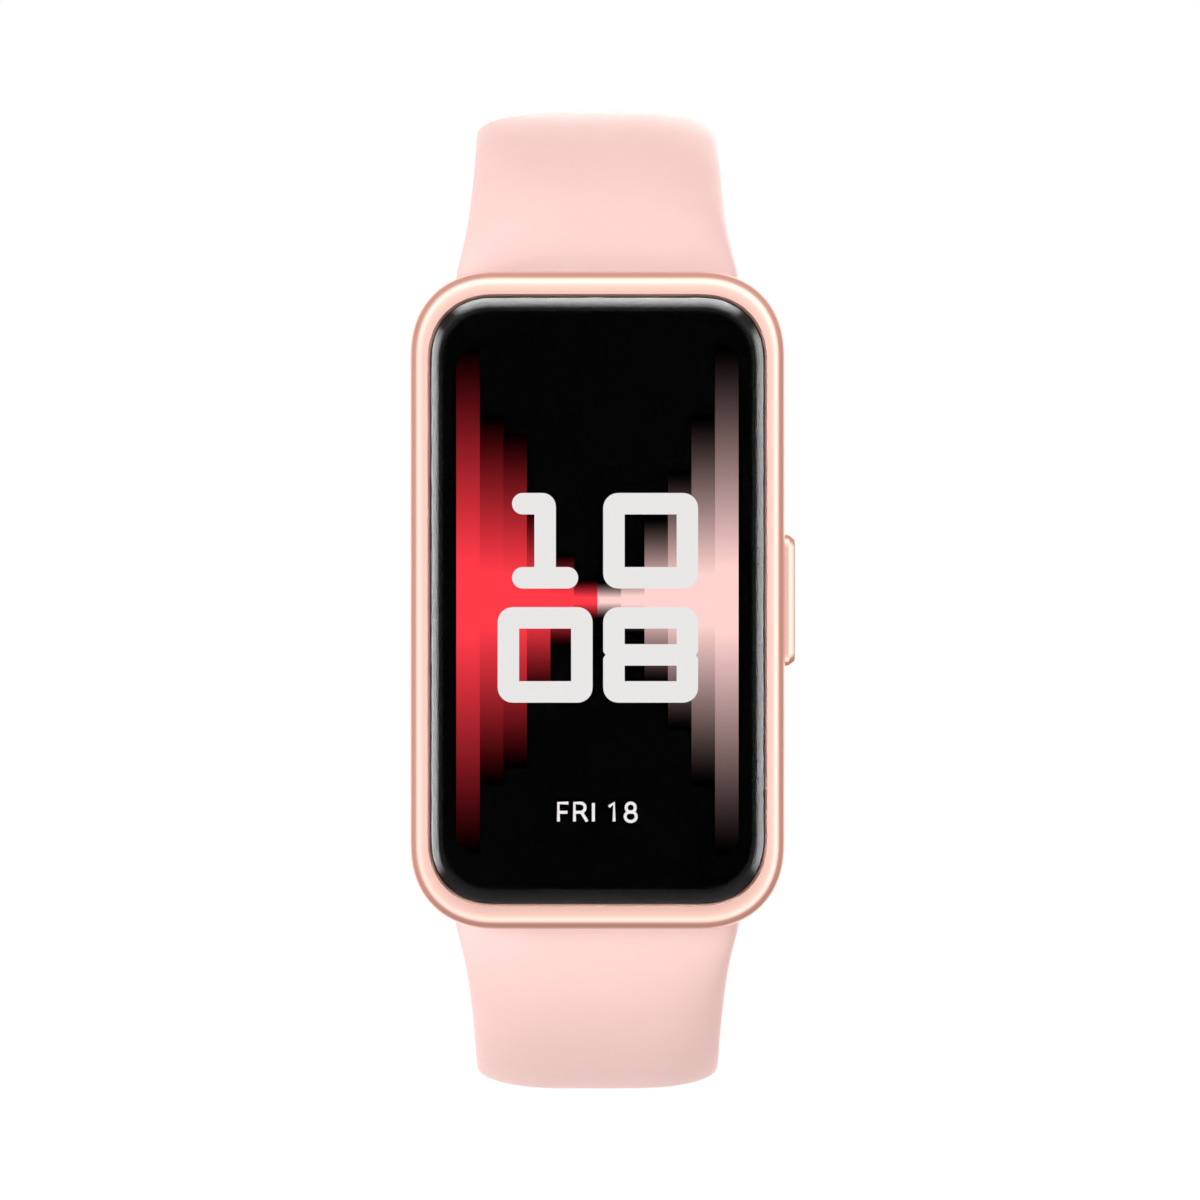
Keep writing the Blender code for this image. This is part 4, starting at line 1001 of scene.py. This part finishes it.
def section(side, length, half_x, half_n, lift=0.0):
    """A strap's section: crowned outside, flat inside, with rounded edges."""
    crown = mixed(0.3, 0.93, smooth_step(length, 2.0 * MM, 14.0 * MM))
    edge_n = EDGE_MIDDLE * half_n
    half = [1.0 - (1.0 - i / EDGE_STEPS) ** 2.3 for i in range(EDGE_STEPS + 1)]
    shares = half[::-1] + [-share for share in half[1:]]
    outside = [(share, half_n * (1.0 - crown * share**4)) for share in shares]
    ring = []
    for share, top in outside + [(-share, -half_n) for share in shares[1:-1]]:
        n = edge_n + (top - edge_n) * sqrt(1.0 - abs(share) ** EDGE_POWER)
        y, z = loop_point(length, lift + n)
        ring.append((half_x * share, y, side * z))
    return ring


def lug_sections(side):
    """The rounded end that wraps the spring bar."""
    rings = []
    for angle in sweep(80.0, 10.0, 7):
        length = -LUG_HALF_THICK * sin(angle)
        rings.append(section(side, length, half_width(0.0), LUG_HALF_THICK * cos(angle)))
    return rings


def lug_point(along, lift):
    """(y, z) near the upper pivot, in the directions of the strap that leaves it."""
    y = PIVOT.y + lift * sin(LUG_ANGLE) + along * cos(LUG_ANGLE)
    z = PIVOT.z + lift * cos(LUG_ANGLE) - along * sin(LUG_ANGLE)
    return y, z


def lug_cutters(side):
    """The bore for the spring bar, and the slot that its knob slides in."""
    rings = []
    for n in (KNOB_SLOT_FLOOR, -1.5 * LUG_HALF_THICK):
        ring = []
        for x, along in rounded_outline(*KNOB_SLOT, 5):
            y, z = lug_point(along, n)
            ring.append((KNOB_SLOT_X + x, y, side * z))
        rings.append(ring)
    return [rod(-LUG_BORE_X, LUG_BORE_X, (PIVOT.y, side * PIVOT.z), LUG_BORE), loft(rings)]


def make_upper_strap(material):
    bar = HALF_LOOP - BAR_AT
    knuckle = KNUCKLE_HALF_THICK
    rings = lug_sections(1)
    for length in spread(0.0, bar - 2.2 * knuckle - 1.0 * MM, 66):
        rings.append(section(1, length, half_width(length), half_thickness(length)))
    for past in (-2.2, -1.6, -1.0, -0.5, 0.0):
        rings.append(section(1, bar + past * knuckle, STRAP_HALF_WIDTH, knuckle))
    for angle in sweep(15.0, 80.0, 5):
        length = bar + knuckle * sin(angle)
        rings.append(section(1, length, STRAP_HALF_WIDTH, knuckle * cos(angle)))
    strap = new_object("upper_strap_silicone", loft(rings))
    y, z = loop_point(bar)
    (x0, y0, z0), (x1, y1, z1) = TONGUE_NOTCH
    notch = block((x0, y + y0, z + z0), (x1, y + y1, z + z1))
    combine(strap, lug_cutters(1) + [rod(-9.0 * MM, 9.0 * MM, (y, z), BAR_BORE), notch])
    add(strap, material, "upper_strap", "strap_silicone", "upper_strap")


def lower_lift(length):
    return OVERLAP_LIFT * smooth_step(length, RAMP_START, RAMP_END)


def adjustment_hole(length):
    """A slot square to the strap, with chamfered mouths."""
    place = Vector(loop_point(length, lower_lift(length)))
    ahead = length + 0.5 * MM
    forward = (Vector(loop_point(ahead, lower_lift(ahead))) - place).normalized()
    outward = Vector((-forward.y, forward.x))
    mouth = BACK_HALF_THICK - HOLE_CHAMFER
    far = 2.0 * MM
    rings = []
    for n, grow in ((-far, far - mouth), (-mouth, 0.0), (mouth, 0.0), (far, far - mouth)):
        half_x = HOLE_WIDTH / 2 + grow
        ring = []
        for x, along in rounded_outline(half_x, HOLE_LENGTH / 2 + grow, half_x):
            y, z = place + along * forward + n * outward
            ring.append((x, y, -z))
        rings.append(ring)
    return loft(rings)


def make_lower_strap(material):
    tip = LOWER_LENGTH - TIP_LENGTH
    rings = lug_sections(-1)
    for length in spread(0.0, tip, 110):
        half_n = half_thickness(min(length, HALF_LOOP))
        rings.append(section(-1, length, half_width(length), half_n, lower_lift(length)))
    for angle in sweep(8.0, 84.0, 14):
        share = sin(angle)
        half_x = STRAP_HALF_WIDTH * sqrt(1.0 - share**2.6)
        half_n = BACK_HALF_THICK * mixed(1.0, 0.45, share**4)
        rings.append(section(-1, tip + share * TIP_LENGTH, half_x, half_n, OVERLAP_LIFT))
    strap = new_object("lower_strap_silicone", loft(rings))
    numbers = range(-HOLES_BEFORE, HOLES_AFTER + 1)
    holes = [adjustment_hole(HOLE_AT + number * HOLE_PITCH) for number in numbers]
    combine(strap, lug_cutters(-1) + holes)
    add(strap, material, "lower_strap", "strap_silicone", "lower_strap")


def make_bar_spring(label, side):
    """The wire inside a spring bar."""
    low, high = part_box(f"{label}_bar_spring")
    steps = SPRING_TURNS * SPRING_STEPS
    coil = (high.y - low.y) / 2 - WIRE_RADIUS
    rings = []
    for step in range(steps + 1):
        angle = 2.0 * pi * step / SPRING_STEPS
        x = mixed(low.x + WIRE_RADIUS, high.x - WIRE_RADIUS, step / steps)
        ring = []
        for turn in spread(0.0, 2.0 * pi, 10)[:-1]:
            radius = coil + WIRE_RADIUS * cos(turn)
            y, z = PIVOT.y + radius * cos(angle), side * PIVOT.z + radius * sin(angle)
            ring.append((x + WIRE_RADIUS * sin(turn), y, z))
        rings.append(ring)
    spring = new_object(f"{label}_spring_wire", loft(rings), 50.0)
    steel = drawn_metal(f"{label}_wire_steel", (0.60, 0.60, 0.62), 0.24, (0.03, 0.3, 0.3))
    add(spring, steel, f"{label}_strap", "steel", f"{label}_bar_spring")
    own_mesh(spring)


def make_keeper(material):
    """A band of silicone round both straps, with soft edges."""
    low = -BACK_HALF_THICK - KEEPER_GAP
    high = OVERLAP_LIFT + BACK_HALF_THICK + KEEPER_GAP
    half_x, half_n = STRAP_HALF_WIDTH + KEEPER_GAP, (high - low) / 2
    start = HALF_LOOP - KEEPER_AT - KEEPER_LENGTH / 2
    soft = KEEPER_SOFT
    profile = [(0.0, 0.0), (0.0, KEEPER_WALL - soft)]
    for angle in sweep(15.0, 75.0, 3):
        grow = KEEPER_WALL - soft * (1.0 - sin(angle))
        profile.append((soft * (1.0 - cos(angle)), grow))
    profile.append((soft, KEEPER_WALL))
    whole = profile + [(KEEPER_LENGTH / 2, KEEPER_WALL)]
    whole += [(KEEPER_LENGTH - along, grow) for along, grow in reversed(profile)]
    whole += [(KEEPER_LENGTH / 2, 0.0)]
    rings = []
    for along, grow in whole:
        ring = []
        for x, n in rounded_outline(half_x + grow, half_n + grow, KEEPER_CORNER + 0.9 * grow, 8):
            ring.append((x, *loop_point(start + along, (low + high) / 2 + n)))
        rings.append(ring)
    keeper = new_object("keeper_loop", loft(rings, joined=True))
    add(keeper, material, "keeper", "strap_silicone", "strap_keeper")


# ---------------------------------------------------------------- buckle


def direction_to(start, end):
    """A unit step from start to end and one square to it on the outer side, with the distance."""
    forward = (end - start).normalized()
    return forward, Vector((-forward.y, forward.x)), (end - start).length


def plate(points, lifts, origin, forward, outward):
    """A flat plate between two lifts, of (x, along) points in the directions given."""
    rings = []
    for lift in lifts:
        places = [(x, origin + along * forward + lift * outward) for x, along in points]
        rings.append([(x, *place) for x, place in places])
    return loft(rings)


def make_buckle():
    """The cast frame: an open window round the bar, and a notch where the tongue rests."""
    bar = Vector(loop_point(HALF_LOOP - BAR_AT))
    cross = Vector(loop_point(HALF_LOOP + CROSSBAR_AT, CROSSBAR_LIFT))
    forward, outward, reach = direction_to(bar, cross)
    outer, inner, back = FRAME_HALF_X, FRAME_WINDOW_HALF_X, FRAME_BACK
    end, window_end = reach + CROSSBAR_RADIUS, reach - CROSSBAR_RADIUS
    curve, window_curve = FRAME_CORNER, FRAME_WINDOW_CORNER
    outline = [(outer, back)]
    outline += arc((outer - curve, end - curve), curve, 0.0, 90.0, 14)
    outline += arc((curve - outer, end - curve), curve, 90.0, 180.0, 14)
    outline += [(-outer, back), (-inner, back)]
    outline += arc((window_curve - inner, window_end - window_curve), window_curve, 180.0, 90.0, 8)
    outline += arc((inner - window_curve, window_end - window_curve), window_curve, 90.0, 0.0, 8)
    outline += [(inner, back)]
    lifts = (-FRAME_HALF_THICK, FRAME_HALF_THICK)
    buckle = new_object("buckle_frame_cast", plate(outline, lifts, bar, forward, outward))
    soften(buckle, 0.32 * MM, 4)
    half, near, far = NOTCH_HALF_X, window_end - MM, end + MM
    corners = ((-half, near), (half, near), (half, far), (-half, far))
    lifts = (FRAME_HALF_THICK - CROSSBAR_NOTCH, 2.0 * FRAME_HALF_THICK)
    notch = plate(corners, lifts, bar, forward, outward)
    combine(buckle, [rod(-9.4 * MM, 9.4 * MM, bar, BAR_BORE), notch])
    add(buckle, polished_rose("buckle_rose"), "buckle", "buckle_metal", "buckle_frame")
    make_tongue(bar, cross, outward)


def make_tongue(bar, cross, outward):
    """A flat blade with an eye round the bar."""
    half = TONGUE_HALF_THICK
    rest = FRAME_HALF_THICK - CROSSBAR_NOTCH + half + TONGUE_REST_GAP
    forward, up, reach = direction_to(bar, cross + rest * outward)
    leave = degrees(asin(half / TONGUE_EYE))
    outline = arc((0.0, 0.0), TONGUE_EYE, leave, 360.0 - leave, 28)
    tip = reach + TONGUE_PAST
    outline += [(tip - 0.6 * MM, -half), (tip, -0.3 * half)]
    outline += [(tip, 0.4 * half), (tip - 0.5 * MM, half)]
    rings = []
    for x in (-TONGUE_HALF_X, TONGUE_HALF_X):
        rings.append([(x, *(bar + along * forward + lift * up)) for along, lift in outline])
    tongue = new_object("buckle_tongue_cast", loft(rings))
    soften(tongue, 0.14 * MM, 3)
    combine(tongue, [rod(-2.0 * MM, 2.0 * MM, bar, BAR_BORE)])
    add(tongue, polished_rose("tongue_rose"), "tongue", "buckle_metal", "buckle_tongue")


# ---------------------------------------------------------------- carried-over nodes


def dress_nodes():
    """Gives each CAD node that still shows a material of its own kind."""
    steel = drawn_metal("bright_steel", (0.60, 0.60, 0.62), 0.24)
    screws = drawn_metal("screw_steel", (0.42, 0.42, 0.45), 0.32, (0.08, 0.5, 0.08))
    pressed = drawn_metal("pressed_steel", (0.55, 0.55, 0.56), 0.34, (0.05, 0.05, 1.5))
    gold = drawn_metal("plated_gold", (0.95, 0.70, 0.30), 0.22, (0.05, 0.3, 0.05))
    rubber = moulded("black_rubber", (0.03, 0.03, 0.032), 0.75, 0.08, 0.004)
    chip = moulded("chip_epoxy", (0.022, 0.022, 0.025), 0.55, 0.05, 0.002)
    board = circuit_board("board_green", (0.012, 0.12, 0.06), (0.03, 0.22, 0.10))
    black_board = circuit_board("board_black", (0.012, 0.014, 0.016), (0.03, 0.034, 0.04))
    light = diode("green_led", (0.30, 0.72, 0.30), (0.60, 0.85, 0.40))
    sensor = diode("photodiode", (0.03, 0.035, 0.10), (0.30, 0.25, 0.12))
    for material, names in (
        (display_black("panel_black"), "display_panel"),
        (rubber, "display_gasket rear_seal button_seal"),
        (pressed, "chassis_plate processor_shield key_bracket motor_base motor_can"),
        (screws, "motor_weight chassis_screw_upper_left chassis_screw_upper_right"),
        (screws, "chassis_screw_lower_left chassis_screw_lower_right"),
        (steel, "button_clip buckle_bar upper_spring_bar upper_release_pin"),
        (steel, "lower_spring_bar lower_release_pin"),
        (gold, "antenna_strip charge_contact_left charge_contact_right"),
        (board, "main_board"),
        (black_board, "sensor_board"),
        (chip, "processor_chip memory_chip motion_sensor_chip key_switch"),
        (flex_circuit("flex_amber"), "display_flex"),
        (flex_circuit("sensor_flex_amber"), "sensor_flex"),
        (pouch_foil("battery_foil"), "battery"),
        (light, "green_led_left green_led_right"),
        (sensor, "photodiode_upper photodiode_lower"),
    ):
        for name in names.split():
            coat(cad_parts[name], material)


# ---------------------------------------------------------------- studio


def build_world():
    """White to the camera, and soft boxes round the object for everything else."""
    world = bpy.data.worlds.new("soft_studio")
    bpy.context.scene.world = world
    world.use_nodes = True
    graph = Graph(world.node_tree)
    ranged, calculate = graph.ranged, graph.calculate
    direction = graph.node("TexCoord", {}, "Generated")
    x, y, z = (graph.node("SeparateXYZ", {0: direction}, i) for i in range(3))
    # In front of the object: dark round the camera, then brighter to the side and above.
    around_camera = ranged(y, -0.985, -0.93, 0.0, 1.0)
    above = ranged(z, 0.0, 0.8, 0.66, 0.95)
    beside = calculate("MULTIPLY", ranged(x, -0.9, 0.9, 0.82, 1.12), above)
    band = calculate("MULTIPLY", ranged(y, -0.78, -0.44, 0.0, 1.0), beside)
    base = ranged(z, -0.8, 0.6, 1.0, 1.16)
    lit = calculate("MULTIPLY", around_camera, calculate("ADD", base, band))
    # Behind it: dimmer and warm, with a bright patch far away.
    rear = ranged(y, -0.34, 0.14, 0.0, 1.0)
    kept = calculate("MULTIPLY", lit, calculate("SUBTRACT", 1.0, rear))
    slant = calculate("SUBTRACT", z, calculate("MULTIPLY", x, 0.35))
    dim = ranged(slant, -0.9, 0.4, 0.46, 0.66)
    far = ranged(y, 0.84, 0.93, 0.0, 1.4)
    behind = calculate("MULTIPLY", rear, calculate("ADD", dim, far))
    camera = graph.node("LightPath", {}, "Is Camera Ray")
    level = graph.node("Mix", {0: camera, 2: calculate("ADD", kept, behind), 3: 1.0})
    warmth = calculate("MULTIPLY", rear, calculate("SUBTRACT", 1.0, camera))
    colours = {0: warmth, 6: (1.0, 1.0, 1.0, 1.0), 7: (1.0, 0.79, 0.73, 1.0)}
    graph.feed(graph.nodes["Background"], "Strength", level)
    graph.feed(graph.nodes["Background"], "Color", graph.node("Mix", colours, 2, data_type="RGBA"))


def make_floor():
    """A pale floor under the band. It catches shadows, and stays out of reflections."""
    z = CAD_BOX[0].z - FLOOR_DROP
    bm = bmesh.new()
    bmesh.ops.create_grid(bm, x_segments=2, y_segments=2, size=FLOOR_SIZE / 2)
    bmesh.ops.translate(bm, vec=(0.0, 0.0, z), verts=bm.verts)
    floor = new_object("floor", bm)
    surface = Surface("pale_floor", (0.94, 0.94, 0.94), 0.8)
    surface.tint(surface.noise(60.0), (0.93, 0.93, 0.93))
    surface.set(Emission_Color=(1.0, 1.0, 1.0, 1.0), Emission_Strength=0.25)
    floor.data.materials.append(surface.material)
    for rays in ("glossy", "diffuse", "transmission", "shadow"):
        setattr(floor, f"visible_{rays}", False)


def make_lamp(name, place, target, size, power, pieces):
    """A softbox that faces its target and lights only the pieces named."""
    data = bpy.data.lights.new(name, "AREA")
    data.shape = "RECTANGLE"
    data.size, data.size_y = size
    data.energy = power
    lamp = scene_object(name, data)
    lamp.location = place
    lamp.rotation_euler = (Vector(place) - Vector(target)).to_track_quat("Z", "Y").to_euler()
    receivers = bpy.data.collections.new(f"{name}_receivers")
    for piece in pieces:
        receivers.objects.link(bpy.data.objects[piece])
    lamp.light_linking.receiver_collection = receivers
    return lamp


def fade_card(lamp, near, far, end_axis, end_start, end_stop):
    """Dims a card towards the camera, between two depths, and towards its two ends."""
    lamp.data.use_nodes = True
    graph = Graph(lamp.data.node_tree)
    position = graph.node("NewGeometry", {}, "Position")
    y, along = (graph.node("SeparateXYZ", {0: position}, axis) for axis in (1, end_axis))
    depth = graph.ranged(y, near, far, 0.0, 1.0)
    ends = graph.ranged(graph.calculate("ABSOLUTE", along), end_stop, end_start, 0.0, 1.0)
    graph.feed(graph.nodes["Emission"], "Strength", graph.calculate("MULTIPLY", depth, ends))


def make_cards():
    """Four faded cards that draw the highlights along the edges of the cover glass."""
    for name, x, z, power, near, far in (
        ("top", 0, 1, 110.0, -0.37, 0.10),
        ("bottom", 0, -1, 48.0, 0.0, 0.20),
        ("left", -1, 0, 68.0, -0.26, -0.03),
        ("right", 1, 0, 54.0, -0.26, -0.03),
    ):
        place, target = (x * CARD_AWAY, CARD_Y, z * CARD_AWAY), (0.0, CARD_Y, 0.0)
        pieces = ["cover_glass_clear"]
        lamp = make_lamp(f"card_{name}", place, target, CARD_SIZE, power, pieces)
        lamp.rotation_euler = Matrix(((z, 0, x), (0, 1, 0), (-x, 0, z))).to_euler()
        ends = (2, 0.12, 0.28) if x else (0, 0.14, 0.36)
        fade_card(lamp, near, far, *ends)


def make_camera():
    data = bpy.data.cameras.new("front_camera")
    data.sensor_width = 36.0
    front = (CASE_LOW.y + CASE_HIGH.y) / 2
    data.lens = data.sensor_width * (CAMERA_DISTANCE + front) / FRAME_WIDTH
    data.clip_start, data.clip_end = 0.1, 10.0
    camera = scene_object("front_camera", data)
    camera.location = (CAMERA_OFFSET[0], -CAMERA_DISTANCE, CAMERA_OFFSET[1])
    camera.rotation_euler = (radians(90.0), 0.0, 0.0)
    bpy.context.scene.camera = camera


def main():
    bpy.context.scene.view_settings.view_transform = "Standard"
    make_camera()
    make_case()
    make_glass()
    make_picture()
    make_rear()
    make_button()
    material = silicone("pink_silicone")
    make_upper_strap(material)
    make_lower_strap(material)
    make_bar_spring("upper", 1)
    make_bar_spring("lower", -1)
    make_keeper(material)
    make_buckle()
    dress_nodes()
    build_world()
    make_floor()
    make_cards()
    straps = ["upper_strap_silicone", "lower_strap_silicone"]
    make_lamp("strap_softbox", (-0.09, -0.12, -0.02), (0.0, 0.0, -0.03), (0.05, 0.05), 0.15, straps)
    rear = straps + ["keeper_loop", "rear_shell"]
    make_lamp("rear_softbox", (0.12, 0.48, 0.10), (0.0, 0.02, 0.0), (0.30, 0.30), 0.9, rear)


main()
